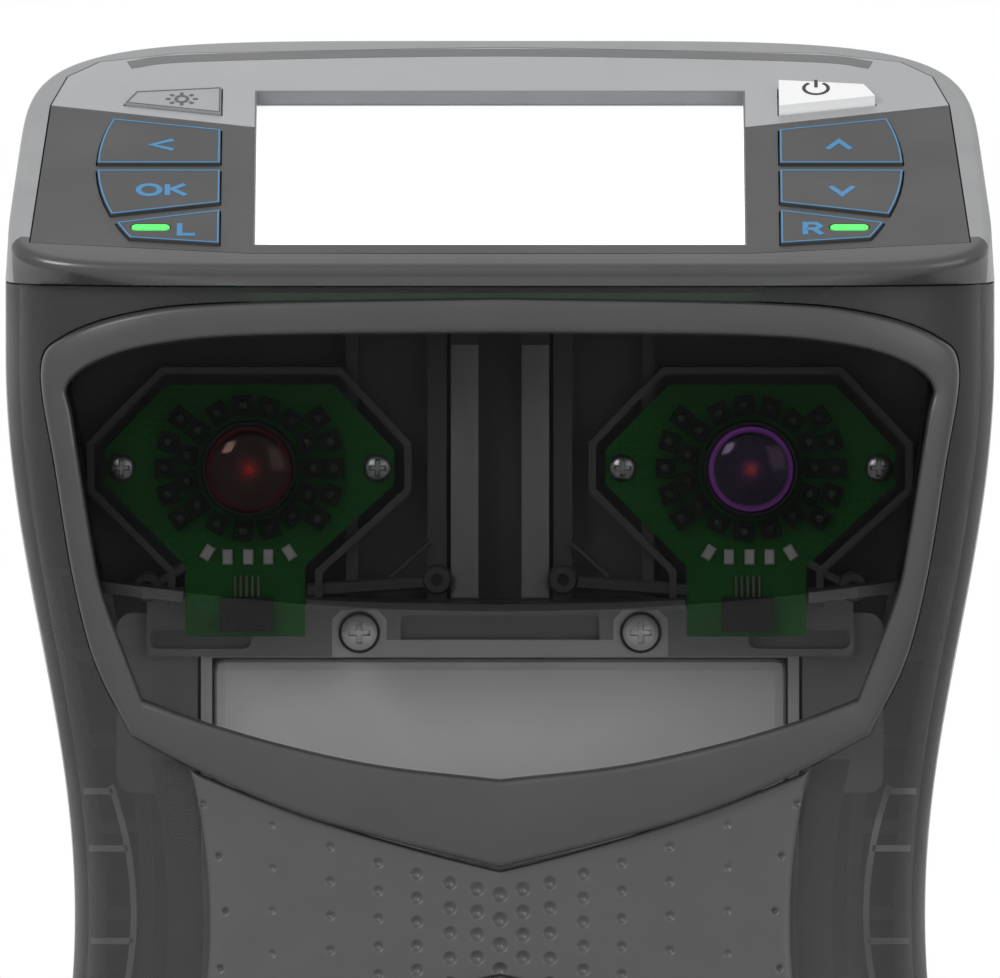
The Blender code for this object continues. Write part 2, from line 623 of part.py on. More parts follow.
def make_bay(bay, turn):
    """One camera bay: visor ring, window, ribbed chassis and two cameras."""
    low, high = (WAIST_Z, TOP_SEAM - CLEAR)
    outer, inner = mirrored(VISOR_OUTER), mirrored(VISOR_INNER)

    def bay_part(name, shape, finish):
        return part(f"{bay}_{name}", shape, finish)

    def moved(shape):
        shape.transform(turn)
        return shape

    ring = bay_part("visor_ring", moved(half_shell(low, high, VISOR_PROUD, -VISOR_BEHIND, False)), "visor")
    combine(ring, "INTERSECT", moved(prism(outer, 0, FAR, FRONT_VIEW)))
    combine(ring, "DIFFERENCE", moved(prism(inner, 0, FAR, FRONT_VIEW)))
    window = bay_part("window", moved(half_shell(low, high, WINDOW_PROUD, 0, False)), "window")
    combine(window, "INTERSECT", moved(prism(grown(inner, -CLEAR), 0, FAR, FRONT_VIEW)))

    outline = mirrored(CHASSIS_HALF)
    chassis = bay_part("camera_chassis", moved(half_solid(low, high, -VISOR_BEHIND - CLEAR, False)), "black")
    combine(chassis, "INTERSECT", moved(prism(outline, CHASSIS_BACK, FAR, FRONT_VIEW)))
    pocket = grown(outline, -CHASSIS_WALL)
    combine(chassis, "DIFFERENCE", moved(prism(pocket, CHASSIS_FLOOR, FAR, FRONT_VIEW)))
    combine(chassis, "UNION", moved(gather(chassis_ribs(outline))))
    board_back = CHASSIS_FLOOR + BOARD_STAND
    sunk = (CHASSIS_FLOOR + CHASSIS_BACK) / 2
    rims, bosses, notches = [], [], []
    for side in (-1, 1):
        board = board_outline(side)
        rims.append(ring_prism(grown(board, POCKET_GAP + POCKET_RIM), grown(board, POCKET_GAP), sunk,
                               board_back + BOARD_THICK, FRONT_VIEW))
        for screw in (-1, 1):
            centre = (side * CAMERA_X + screw * BOARD_SCREW_X, CAMERA_Z)
            bosses.append(prism(circle(BOSS_RADIUS, centre, 10), sunk, board_back - CLEAR, FRONT_VIEW))
        left = min(x for x, z in board if z < CAMERA_Z + BOARD_TAIL_HIGH)
        right = max(x for x, z in board if z < CAMERA_Z + BOARD_TAIL_HIGH)
        notches.append(block((left - CLEAR, CAMERA_Z + BOARD_TAIL_LOW - FAR), (right + CLEAR, CAMERA_Z
                             + BOARD_TAIL_HIGH), board_back - CLEAR, FAR, FRONT_VIEW))
    below = (-FAR, -FAR), (FAR, min(z for _, z in outline) + CHASSIS_WALL / 2)
    combine(chassis, "UNION", moved(gather(rims)))
    combine(chassis, "UNION", moved(gather(bosses)))
    combine(chassis, "DIFFERENCE", moved(gather(notches)))
    combine(chassis, "DIFFERENCE", moved(block(*below, 0, FAR, FRONT_VIEW)))
    for side, word in ((-1, "left"), (1, "right")):
        make_camera(f"{bay}_{word}", side, board_back, turn)


def chassis_ribs(outline):
    """Upright ribs across the middle of the chassis."""
    low = min(z for _, z in outline) + CHASSIS_WALL / 2
    high = max(z for _, z in outline) - CHASSIS_WALL
    sunk = (CHASSIS_FLOOR + CHASSIS_BACK) / 2
    shapes = []
    for centre, width in RIB_PLACES:
        for side in (-1, 1):
            middle = side * centre * MM
            half = width * MM / 2
            shapes.append(block((middle - half, low), (middle + half, high), sunk, CHASSIS_FLOOR + RIB_HEIGHT,
                                FRONT_VIEW))
    return shapes


def board_outline(side):
    """A camera board's outline in the front view."""
    return [(side * CAMERA_X + x * MM, CAMERA_Z + y * MM) for x, y in BOARD_OUTLINE]


def make_camera(name, side, back, turn):
    """A camera board with its LEDs and connector, a lens barrel and a lens."""
    face = back + BOARD_THICK
    sunk = back + BOARD_THICK / 2
    centre = Vector((side * CAMERA_X, CAMERA_Z))
    board = part(f"{name}_camera_board", placed(prism(board_outline(side), back, face, FRONT_VIEW), turn),
                 "board_green")
    places = [(INNER_LED_RADIUS, 2 * math.pi * step / INNER_LEDS) for step in range(INNER_LEDS)]
    for start in (0, math.pi):
        places += [(OUTER_LED_RADIUS, start + step * OUTER_LED_STEP) for step in range(-2, 3)]
    lights = []
    for radius, angle in places:
        corners = circle(LED_HALF * math.sqrt(2), (0, 0), 4)
        spun = [Matrix.Rotation(angle + math.pi / 4, 2) @ Vector(corner) for corner in corners]
        spot = centre + radius * Vector((math.cos(angle), math.sin(angle)))
        lights.append(prism([tuple(spot + corner) for corner in spun], sunk, face + LED_HEIGHT, FRONT_VIEW))
    low, high = [tuple(centre + Vector(corner) * MM) for corner in CONNECTOR]
    lights.append(block(low, high, sunk, face + CONNECTOR_HEIGHT, FRONT_VIEW))
    combine(board, "UNION", placed(gather(lights), turn))

    axis = FRONT_VIEW @ Matrix.Translation((*centre, face + CLEAR))
    bore = LENS_RADIUS - LENS_WALL
    barrel = [(LENS_RADIUS, 0), (LENS_RADIUS, LENS_HEIGHT), (bore, LENS_HEIGHT), (bore, LENS_FLOOR)]
    part(f"{name}_lens_barrel", placed(turned(barrel, axis), turn), "black")
    edge = bore - CLEAR
    seat = LENS_FLOOR + CLEAR
    dome = [(edge, seat), (edge, LENS_HEIGHT - LENS_DOME / 2)]
    dome += [(edge * math.cos(tilt), LENS_HEIGHT - LENS_DOME / 2 + LENS_DOME * math.sin(tilt))
             for tilt in DOME_TILTS]
    part(f"{name}_lens_glass", placed(turned(dome, axis), turn), "lens_glass")


def placed(shape, turn):
    """The shape after a transform."""
    shape.transform(turn)
    return shape


def make_shells():
    """The front and rear shells with their openings, the dimpled cover, the rear door and the port panel."""
    low, high = BASE_SEAM + CLEAR, TOP_SEAM - CLEAR
    front = part("front_shell", half_shell(low, high, 0, -WALL, False), "dark_shell")
    opening = grown(mirrored(VISOR_OUTER), CLEAR)
    for turn in (Matrix(), HALF_TURN):
        combine(front, "DIFFERENCE", placed(prism(opening, 0, FAR, FRONT_VIEW), turn))
    cover = part("dimpled_cover", half_shell(low, high, COVER_PROUD, CLEAR, False), "key_dark")
    combine(cover, "INTERSECT", prism(cover_outline(), 0, FAR, FRONT_VIEW))

    rear = part("rear_shell", half_shell(low, high, 0, -WALL, True), "dark_shell")
    door = rounded_box(DOOR_HALF, DOOR_REACH, DOOR_ROUND, (0, WAIST_Z))
    ports = rounded_box(PORT_HALF, PORT_HALF_HEIGHT, PORT_ROUND, (0, PORT_Z))
    for name, outline in (("battery_door", door), ("port_panel", ports)):
        combine(rear, "DIFFERENCE", prism(grown(outline, CLEAR), -FAR, 0, FRONT_VIEW))
        lid = part(name, half_shell(low, high, 0, -WALL, True), "dark_shell")
        combine(lid, "INTERSECT", prism(outline, -FAR, 0, FRONT_VIEW))
        if name == "port_panel":
            surface = inside_depth(0, PORT_Z, 0, True)
            sockets = [block(((x - width / 2) * MM, PORT_Z - height * MM / 2),
                             ((x + width / 2) * MM, PORT_Z + height * MM / 2), -FAR, PORT_DEPTH - surface, FRONT_VIEW)
                       for x, width, height in PORT_SOCKETS]
            combine(lid, "DIFFERENCE", gather(sockets))


def cover_outline():
    """The bow-tie between the two visors, closed by flared sides."""
    edge = [(x * MM, z * MM) for x, z in VISOR_OUTER if z <= VISOR_OUTER[-4][1]]
    slack = 2 * CLEAR
    right = []
    for x, z in reversed(edge):
        right.append((x, z - slack))
    corner_z = right[-1][1] - slack
    side = []
    for step in range(COVER_STEPS + 1):
        z = corner_z - 2 * (corner_z - WAIST_Z) * step / COVER_STEPS
        side.append((COVER_HALF + COVER_FLARE * (z - WAIST_Z) ** 2, z))
    upper = [point for point in right if point[0] < side[0][0] - slack]
    lower = [(x, 2 * WAIST_Z - z) for x, z in reversed(upper)]
    half = upper + side + lower
    return half + [(-x, z) for x, z in reversed(half) if x > 0]


def make_side_frames():
    """A ladder-ribbed frame inside each side wall."""
    low, high = WAIST_Z - FRAME_REACH, WAIST_Z + FRAME_REACH

    def band(bottom, top, outer, inner, steps):
        heights = [bottom + (top - bottom) * step / steps for step in range(steps + 1)]
        return ([(half_width(z) - outer, z) for z in heights]
                + [(half_width(z) - inner, z) for z in reversed(heights)])

    wall = WALL + FRAME_GAP
    for side, word in ((-1, "left"), (1, "right")):
        outline = [(side * x, z) for x, z in band(low, high, wall, wall + FRAME_DEPTH, FRAME_RUNGS * 2)]
        frame = part(f"{word}_side_frame", prism(outline, -FRAME_HALF_THICK, FRAME_HALF_THICK, FRONT_VIEW),
                     "battery_grey")
        pitch = (high - low) / FRAME_RUNGS
        gaps = []
        for rung in range(FRAME_RUNGS):
            bottom = low + rung * pitch + FRAME_BAR / 2
            gap = band(bottom, bottom + pitch - FRAME_BAR, wall + FRAME_BAR, wall + FRAME_DEPTH - FRAME_BAR, 2)
            gaps.append(prism([(side * x, z) for x, z in gap], -FAR, FAR, FRONT_VIEW))
        combine(frame, "DIFFERENCE", gather(gaps))


def make_battery():
    """The battery, its tray on four posts, and the bracket with its screws."""
    reach = BATTERY_REACH
    pack = part("battery_pack", block((-BATTERY_HALF, WAIST_Z - reach), (BATTERY_HALF, WAIST_Z + reach),
                                      -BATTERY_BACK, BATTERY_FRONT, FRONT_VIEW), "battery_grey")
    rounded(pack, BATTERY_ROUND)
    inner = (BATTERY_HALF + CLEAR, reach + CLEAR)
    outer = (inner[0] + TRAY_WALL, inner[1] + TRAY_WALL)
    back = -BATTERY_BACK - CLEAR
    tray = part("battery_tray", block((-outer[0], WAIST_Z - outer[1]), (outer[0], WAIST_Z + outer[1]),
                                      back - TRAY_WALL, BATTERY_FRONT, FRONT_VIEW), "battery_grey")
    combine(tray, "DIFFERENCE", block((-inner[0], WAIST_Z - inner[1]), (inner[0], WAIST_Z + inner[1]), back, FAR,
                                      FRONT_VIEW))
    posts = []
    for side in (-1, 1):
        for up in (-1, 1):
            z = WAIST_Z + up * POST_REACH
            end = inside_depth(POST_X + POST_RADIUS, z, -WALL, True) - CLEAR
            posts.append(prism(circle(POST_RADIUS, (side * POST_X, z), 12), -end, back - TRAY_WALL / 2, FRONT_VIEW))
    combine(tray, "UNION", gather(posts))

    foot = WAIST_Z + reach + CLEAR * 2
    top = foot + BRACKET_HEIGHT
    bar = foot + BRACKET_BAR
    low = BATTERY_FRONT + CLEAR
    face = low + BRACKET_THICK
    half = [(0, foot), (TAB_OUTER, foot), (TAB_OUTER, top - TAB_CHAMFER), (TAB_OUTER - TAB_CHAMFER, top),
            (TAB_INNER + TAB_CHAMFER, top), (TAB_INNER, top - TAB_CHAMFER), (TAB_INNER, bar), (0, bar)]
    outline = half + [(-x, z) for x, z in reversed(half) if x > 0]
    bracket = part("battery_bracket", prism(outline, low, face, FRONT_VIEW), "dark_shell")
    middle = (TAB_INNER + TAB_OUTER) / 2
    screw_z = (foot + top) / 2
    holes = []
    for side, word in ((-1, "left"), (1, "right")):
        centre = (side * middle, screw_z)
        holes.append(prism(circle(SCREW_SHANK + CLEAR, centre, 12), -FAR, FAR, FRONT_VIEW))
        axis = FRONT_VIEW @ Matrix.Translation((*centre, 0))
        head = face + CLEAR
        profile = [(SCREW_SHANK, low), (SCREW_SHANK, head), (SCREW_HEAD, head),
                   (SCREW_HEAD, head + SCREW_HEIGHT / 2), (SCREW_HEAD * SCREW_CROWN, head + SCREW_HEIGHT)]
        part(f"{word}_bracket_screw", turned(profile, axis, 12), "steel")
    combine(bracket, "DIFFERENCE", gather(holes))


def make_base():
    """The hollow base and its four feet."""
    top = BASE_SEAM - CLEAR

    def ring(z, inset):
        outline = whole_plan(HIP_HALF - inset, BASE_FRONT - inset, HIP_BACK - inset, (FRONT_POWER, BACK_POWER))
        return [(x, y, z) for x, y in outline]

    loops = [ring(BASE_BOTTOM, BASE_ROUND)]
    for turn in (0.35, 0.8, math.pi / 2):
        loops.append(ring(BASE_BOTTOM + BASE_ROUND * (1 - math.cos(turn)), BASE_ROUND * (1 - math.sin(turn))))
    floor = BASE_BOTTOM + BASE_FLOOR
    loops += [ring(top, 0), ring(top, WALL), ring(BASE_BOTTOM + BASE_ROUND, WALL), ring(floor, BASE_ROUND)]
    base = part("base_housing", loft(loops), "dark_shell")
    seats = []
    for side, word in ((-1, "left"), (1, "right")):
        for end, place in ((-1, "front"), (1, "rear")):
            axis = Matrix.Translation((side * FOOT_X, end * FOOT_Y, 0))
            roof = BASE_BOTTOM + FOOT_SEAT
            seats.append(prism(circle(FOOT_RADIUS + CLEAR), -FAR, roof + CLEAR, axis))
            profile = [(FOOT_RADIUS - FOOT_CHAMFER, 0), (FOOT_RADIUS, FOOT_CHAMFER), (FOOT_RADIUS, roof)]
            part(f"{place}_{word}_foot", turned(profile, axis), "rubber")
    combine(base, "DIFFERENCE", gather(seats))


def main():
    """Builds every piece."""
    make_housing()
    make_panel()
    make_keys()
    make_display()
    make_bay("upper", Matrix())
    make_bay("lower", HALF_TURN)
    make_shells()
    make_side_frames()
    make_battery()
    make_base()


main()
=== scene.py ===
"""Dresses the golf launch monitor: smoked casings, camera bays, key panel, and the finish of every piece."""

import logging
import math
from dataclasses import dataclass, field, replace
from enum import Enum

import bmesh
import bpy
import numpy as np
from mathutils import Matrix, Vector


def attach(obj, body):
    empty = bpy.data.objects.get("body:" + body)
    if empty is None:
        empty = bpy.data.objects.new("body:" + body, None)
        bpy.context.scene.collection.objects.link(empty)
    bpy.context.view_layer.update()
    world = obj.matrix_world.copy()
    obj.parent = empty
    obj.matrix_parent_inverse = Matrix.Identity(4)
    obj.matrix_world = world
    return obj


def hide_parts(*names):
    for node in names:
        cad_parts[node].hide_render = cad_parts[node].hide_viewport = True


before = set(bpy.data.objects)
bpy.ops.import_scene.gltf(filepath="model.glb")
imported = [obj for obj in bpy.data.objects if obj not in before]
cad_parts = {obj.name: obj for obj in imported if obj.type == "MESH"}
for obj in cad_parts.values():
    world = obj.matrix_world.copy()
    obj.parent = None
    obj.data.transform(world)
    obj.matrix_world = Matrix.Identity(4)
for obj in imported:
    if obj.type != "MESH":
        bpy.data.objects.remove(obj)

LOG = logging.getLogger("launch_monitor")
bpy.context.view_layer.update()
MM = 0.001
CLEAR = 0.3 * MM
TAU = 2 * math.pi
QUARTER = math.pi / 2
TINY = 1e-9
WELD = 1e-7
SPLINE_STEPS = 24
# Sizes of the faint clouds in a finish's colour and in its gloss
COLOUR_CLOUD_MM = 9
GLOSS_CLOUD_MM = 18
# The part of the noise that the gloss spreads over
NOISE_LOW, NOISE_HIGH = 0.3, 0.7
LEAST_ROUGHNESS = 0.02
BUMP_STRENGTH = 0.6
# Points of a flat outline, one row each
Outline = np.ndarray


class Bay(Enum):
    """The two camera bays; the lower one is the upper one turned half round at the waist."""

    UPPER = "upper"
    LOWER = "lower"


class Side(Enum):
    """Left and right as the viewer sees them."""

    LEFT = -1
    RIGHT = 1

    @property
    def word(self) -> str:
        """The side's name in node names."""
        return self.name.lower()


class Cut(Enum):
    """What a cutter leaves: all that lies outside it, or all that lies inside."""

    OUTSIDE = "DIFFERENCE"
    INSIDE = "INTERSECT"


def linear(colour: str) -> tuple[float, float, float, float]:
    """Turns an sRGB hex colour to a linear one.

    Args:
        colour: Six hex digits after a hash sign.

    Returns:
        Red, green, blue and an alpha of 1.
    """
    channels = np.array([int(colour[place:place + 2], 16) for place in (1, 3, 5)]) / 255
    made = np.where(channels <= 0.04045, channels / 12.92, ((channels + 0.055) / 1.055) ** 2.4)
    return (*[float(value) for value in made], 1.0)


def shade(colour: str, factor: float) -> str:
    """Makes an sRGB hex colour lighter or darker.

    Args:
        colour: Six hex digits after a hash sign.
        factor: What each channel is multiplied by.

    Returns:
        The new hex colour.
    """
    channels = [min(255, round(int(colour[place:place + 2], 16) * factor)) for place in (1, 3, 5)]
    return "#" + "".join(f"{value:02x}" for value in channels)


def add_node(tree: bpy.types.NodeTree, kind: str, values: dict | None = None, links: dict | None = None,
             **settings: object) -> bpy.types.Node:
    """Adds a node with its settings and links.

    Args:
        tree: The material's node tree.
        kind: The node's type name.
        values: Input name or place to a plain value.
        links: Input name or place to the output socket that feeds it.
        settings: The node's own properties.

    Returns:
        The new node.
    """
    node = tree.nodes.new(kind)
    for name, value in settings.items():
        setattr(node, name, value)
    for key, value in (values or {}).items():
        node.inputs[key].default_value = value
    for key, socket in (links or {}).items():
        tree.links.new(socket, node.inputs[key])
    return node


def scale_of(size_mm: float) -> float:
    """Texture scale whose cells are about this many millimetres."""
    return 1 / (size_mm * MM)


@dataclass(frozen=True)
class Finish:
    """A surface: what it is made of, its colour and the grain that its making left."""

    name: str
    colour: str
    roughness: float
    metallic: float = 0.0
    alpha: float = 1.0
    ior: float = 1.5
    grain_mm: float = 0.6
    grain_depth_mm: float = 0.02
    variation: float = 0.06
    gloss_spread: float = 0.06
    coat: float = 0.0
    glow: float = 0.0
    slot: str = ""

    def material(self) -> bpy.types.Material:
        """Builds the finish once.

        Returns:
            Its material.
        """
        made = bpy.data.materials.get(self.name)
        if made is not None:
            return made
        made = bpy.data.materials.new(self.name)
        made.use_nodes = True
        tree = made.node_tree
        shader = tree.nodes["Principled BSDF"]
        place = add_node(tree, "ShaderNodeTexCoord").outputs["Object"]
        self.colour_into(tree, shader, place)
        grain = add_node(tree, "ShaderNodeTexNoise", {"Scale": scale_of(self.grain_mm), "Detail": 3.0},
                         {"Vector": place})
        cloud = add_node(tree, "ShaderNodeTexNoise", {"Scale": scale_of(GLOSS_CLOUD_MM), "Detail": 4.0},
                         {"Vector": place})
        gloss = add_node(tree, "ShaderNodeMapRange",
                         {"From Min": NOISE_LOW, "From Max": NOISE_HIGH,
                          "To Min": max(LEAST_ROUGHNESS, self.roughness - self.gloss_spread),
                          "To Max": self.roughness + self.gloss_spread},
                         {"Value": cloud.outputs["Fac"]})
        tree.links.new(gloss.outputs["Result"], shader.inputs["Roughness"])
        bump = add_node(tree, "ShaderNodeBump",
                        {"Strength": BUMP_STRENGTH, "Distance": self.grain_depth_mm * MM},
                        {"Height": grain.outputs["Fac"]})
        tree.links.new(bump.outputs["Normal"], shader.inputs["Normal"])
        shader.inputs["Metallic"].default_value = self.metallic
        shader.inputs["Alpha"].default_value = self.alpha
        if not self.metallic:
            shader.inputs["IOR"].default_value = self.ior
        shader.inputs["Coat Weight"].default_value = self.coat
        if self.glow:
            shader.inputs["Emission Color"].default_value = linear(self.colour)
            shader.inputs["Emission Strength"].default_value = self.glow
        return made

    def colour_into(self, tree: bpy.types.NodeTree, shader: bpy.types.Node,
                    place: bpy.types.NodeSocket) -> None:
        """Feeds the base colour: the finish's colour with faint clouds.

        Args:
            tree: The material's node tree.
            shader: The Principled shader.
            place: Object coordinates.
        """
        cloud = add_node(tree, "ShaderNodeTexNoise", {"Scale": scale_of(COLOUR_CLOUD_MM), "Detail": 5.0},
                         {"Vector": place})
        mixed = add_node(tree, "ShaderNodeMix", {"A": linear(shade(self.colour, 1 - self.variation)),
                                                 "B": linear(shade(self.colour, 1 + self.variation))},
                         {"Factor": cloud.outputs["Fac"]}, data_type="RGBA")
        tree.links.new(mixed.outputs["Result"], shader.inputs["Base Color"])


@dataclass(frozen=True)
class SolderMask(Finish):
    """Green solder mask over copper tracks, which show as faint lighter lines in two directions."""

    cell_mm: float = 5.2
    track: float = 0.03
    dull: float = 0.92
    bright: float = 1.1

    def colour_into(self, tree: bpy.types.NodeTree, shader: bpy.types.Node,
                    place: bpy.types.NodeSocket) -> None:
        """Feeds the mask's green with thin tracks, the joints of a brick pattern.

        Args:
            tree: The material's node tree.
            shader: The Principled shader.
            place: Object coordinates.
        """
        upright = add_node(tree, "ShaderNodeVectorRotate", {"Angle": QUARTER}, {"Vector": place},
                           rotation_type="X_AXIS")
        cells = add_node(tree, "ShaderNodeTexBrick",
                         {"Scale": scale_of(self.cell_mm), "Mortar Size": self.track,
                          "Color1": linear(self.colour), "Color2": linear(shade(self.colour, self.dull)),
                          "Mortar": linear(shade(self.colour, self.bright))},
                         {"Vector": upright.outputs["Vector"]})
        tree.links.new(cells.outputs["Color"], shader.inputs["Base Color"])


@dataclass(frozen=True)
class CoatedGlassPaintedReflection(Finish):
    """Lens glass with rings of colour by distance from the lens axis: a painted glint and painted coating
    reflections.
    """

    rings: tuple = ()
    tint: str = "#ffffff"
    centre: tuple[float, float, float] = (0.0, 0.0, 0.0)
    radius: float = MM

    def colour_into(self, tree: bpy.types.NodeTree, shader: bpy.types.Node,
                    place: bpy.types.NodeSocket) -> None:
        """Feeds rings of painted glint and painted reflection round the lens axis, which runs along Y.

        Args:
            tree: The material's node tree.
            shader: The Principled shader.
            place: Object coordinates.
        """
        shader.inputs["Specular Tint"].default_value = linear(self.tint)
        moved = add_node(tree, "ShaderNodeVectorMath", {1: self.centre}, {0: place}, operation="SUBTRACT")
        flat = add_node(tree, "ShaderNodeVectorMath", {1: (1 / self.radius, 0, 1 / self.radius)},
                        {0: moved.outputs["Vector"]}, operation="MULTIPLY")
        reach = add_node(tree, "ShaderNodeVectorMath", None, {0: flat.outputs["Vector"]}, operation="LENGTH")
        ramp = add_node(tree, "ShaderNodeValToRGB", None, {"Fac": reach.outputs["Value"]})
        stops = ramp.color_ramp.elements
        for count, (where, colour) in enumerate(self.rings):
            # A new ramp has two stops already
            stop = stops[count] if count < 2 else stops.new(where)
            stop.position = where
            stop.color = linear(colour)
        tree.links.new(ramp.outputs["Color"], shader.inputs["Base Color"])


# Injection-moulded ABS, spark-eroded: pale, even and softly matt
LIGHT_ABS = Finish("moulded_abs_light_grey", "#9a9b9c", 0.42, ior=1.38, grain_mm=0.5, grain_depth_mm=0.03,
                   slot="light_shell")
# Smoked polycarbonate: dark and clear enough to show the ribs behind it
SMOKED_PC = Finish("smoked_polycarbonate_shell", "#404041", 0.36, alpha=0.5, ior=1.42, grain_depth_mm=0.002,
                   slot="dark_shell")
# The same moulding where nothing shows through
DARK_PC = Finish("dark_polycarbonate_shell", "#333335", 0.4, ior=1.58, grain_mm=0.5, grain_depth_mm=0.03,
                 slot="dark_shell")
# Glossy dark roll of the lip, with soft long highlights
LIP_GLOSS = Finish("gloss_abs_lip", "#3b3b3d", 0.3, coat=0.1, grain_depth_mm=0.004, slot="light_shell")
# Silver paint over ABS: fine flakes and a soft sheen
SILVER = Finish("silver_paint", "#a5a7a9", 0.42, metallic=0.25, grain_mm=0.15, grain_depth_mm=0.006,
                variation=0.03)
# Satin key panel: dark grey, with next to no shine
FASCIA = Finish("satin_abs_key_panel", "#3e3e3f", 0.5, grain_mm=0.4, grain_depth_mm=0.015, variation=0.04)
# Silicone keys: a shade softer than the panel round them
KEY_CAP = Finish("satin_silicone_key", "#404041", 0.55, grain_mm=0.4, grain_depth_mm=0.015, variation=0.04)
# The silver key, painted as the band is
SILVER_KEY = Finish("silver_painted_key", "#a2a4a6", 0.45, metallic=0.2, grain_mm=0.2, grain_depth_mm=0.006)
# Grey rubbery strip let into the back edge of the band
TRIM = Finish("grey_trim_strip", "#6d6d6d", 0.5, grain_depth_mm=0.01, slot="silver_band")
# Clean white moulding of the power key, the brightest of the keys
POWER_WHITE = Finish("white_abs_power_key", "#fcfcfc", 0.35, grain_depth_mm=0.005, variation=0.01)
# Blue print on the keys, a little lit from below
KEY_BLUE = Finish("blue_key_print", "#387caa", 0.5, variation=0.02, glow=0.14, slot="dark_key")
# Grey print on the silver key, quiet against the paint
PRINT_GREY = Finish("grey_key_print", "#5c5e60", 0.55, variation=0.02, slot="dark_key")
# Black print on the white key
PRINT_BLACK = Finish("black_key_print", "#161616", 0.5, variation=0.02, slot="power_key")
# Lit light pipe: an even, strong green
GREEN_LIGHT = Finish("green_light_pipe", "#41ee58", 0.3, variation=0.02, glow=0.75)
# The lit screen: flat and nearly white
SCREEN = Finish("lit_screen", "#fbfcfc", 0.3, variation=0.004, glow=0.75, grain_depth_mm=0.001)
# Cover glass: all but clear, it only adds a sharp reflection
COVER_GLASS = Finish("clear_cover_glass", "#ffffff", 0.05, alpha=0.06, grain_depth_mm=0.0, variation=0.0,
                     gloss_spread=0.01)
# Thin matt liner of the screen's opening
BEZEL = Finish("grey_display_bezel", "#6e7073", 0.5, grain_depth_mm=0.008, slot="key_fascia")
# Moulded frame that holds the screen
FRAME_GREY = Finish("grey_display_frame", "#6c6e70", 0.45, grain_depth_mm=0.01)
# Visor moulding: satin, and a touch clear, so what is behind it only just shows
VISOR = Finish("satin_abs_visor", "#3f3f40", 0.36, alpha=0.9, grain_mm=0.4, grain_depth_mm=0.012,
               variation=0.04, slot="visor")
# Dark acrylic window: polished, it dims the cameras behind it
WINDOW = Finish("smoked_acrylic_window", "#0c0c0d", 0.06, alpha=0.3, ior=1.12, grain_depth_mm=0.0,
                gloss_spread=0.01, slot="window")
# The clearer lower part of the visor, where the battery shows
SHIELD = Finish("clear_smoked_acrylic_shield", "#3a3a3b", 0.1, alpha=0.12, ior=1.2, grain_depth_mm=0.0,
                gloss_spread=0.01, slot="window")
# Glass-filled nylon of the chassis: near black, with a fine grain
CHASSIS = Finish("black_glass_filled_nylon", "#303031", 0.48, grain_mm=0.5, grain_depth_mm=0.012,
                 slot="chassis")
# Solder mask of the boards: deep green
BOARD = SolderMask("green_solder_mask", "#154a1a", 0.38, ior=1.15, grain_depth_mm=0.005)
# LED packages: dark green-black squares on the board
LED_BODY = Finish("dark_led_package", "#0f1a11", 0.4, ior=1.15, grain_depth_mm=0.005, slot="circuit_board")
# Round LED lenses: glossier than their packages, so each takes a point of light
LED_LENS = Finish("clear_led_lens", "#1c241d", 0.2, ior=1.3, grain_depth_mm=0.002, slot="circuit_board")
# Pale ceramic of the small chips
SOLDER_PALE = Finish("pale_ceramic_chip", "#8d8f8c", 0.5, grain_depth_mm=0.01, slot="circuit_board")
# Connector nylon: flat black
CONNECTOR_BLACK = Finish("black_connector_nylon", "#1b1819", 0.5, ior=1.2, slot="circuit_board")
# The same black in the seats round the bracket's screws
SEAT_BLACK = replace(CONNECTOR_BLACK, slot="screw")
# Tinned pins: warm grey metal
PIN_METAL = Finish("tinned_pin", "#8e8a80", 0.35, metallic=1.0, grain_depth_mm=0.005, slot="circuit_board")
# Anodised lens barrel: black with a metal sheen on its rings
BARREL = Finish("black_anodised_aluminium", "#111112", 0.3, metallic=0.6, grain_mm=0.2, grain_depth_mm=0.002,
                slot="lens_barrel")
# Dimpled cover: satin, so each dimple takes a soft shade
COVER = Finish("satin_abs_dimpled_cover", "#464647", 0.42, grain_mm=0.4, grain_depth_mm=0.012, variation=0.04,
               slot="dimpled_cover")
# Side frames inside the smoked shell
FRAME_DARK = Finish("dark_moulded_frame", "#4a4a4b", 0.5, ior=1.35, grain_depth_mm=0.004, slot="inner_frame")
# Thin pale ribs that show through the smoked shell
RIB_PALE = Finish("pale_moulded_rib", "#d8d8d8", 0.5, grain_depth_mm=0.01, slot="inner_frame")
# Floor of the header's pockets, a little darker than its face: painted shade in the pockets
POCKET_PAINTED_SHADE = Finish("pocket_floor_painted_shade", "#58585a", 0.55, grain_depth_mm=0.01, slot="inner_frame")
# Dull zinc plating on the bracket's screws
SCREW_ZINC = Finish("zinc_plated_screw", "#c6c6c7", 0.42, metallic=0.3, grain_mm=0.3, grain_depth_mm=0.004,
                    slot="screw")
# Plain grey plates beside and over the battery
PLATE_GREY = Finish("grey_moulded_plate", "#6f6f70", 0.5, grain_depth_mm=0.02, slot="inner_frame")
# Smoother grey bands on the chassis
BAND_GREY = Finish("grey_moulded_band", "#707071", 0.35, grain_depth_mm=0.01, slot="chassis")
# Tray and rails of the battery: pale grey
RIB_GREY = Finish("grey_moulded_ribs", "#a8a8a8", 0.5, grain_depth_mm=0.02, slot="inner_frame")
# Battery sleeve: the palest thing behind the shield
BATTERY = Finish("grey_battery_pack", "#c4c4c4", 0.5, grain_depth_mm=0.02, variation=0.03)
# Bracket across the battery, a step darker than the sleeve
BRACKET = Finish("dark_bracket_nylon", "#a2a2a3", 0.5, grain_depth_mm=0.02)
# Bright steel of the board screws
SCREW_STEEL = Finish("steel_screw", "#8b8c8d", 0.3, metallic=1.0, grain_mm=0.3, grain_depth_mm=0.005,
                     slot="screw")
# Rubber feet: black and dull
RUBBER = Finish("black_rubber_foot", "#1d1d1e", 0.8, grain_mm=0.4, grain_depth_mm=0.05)
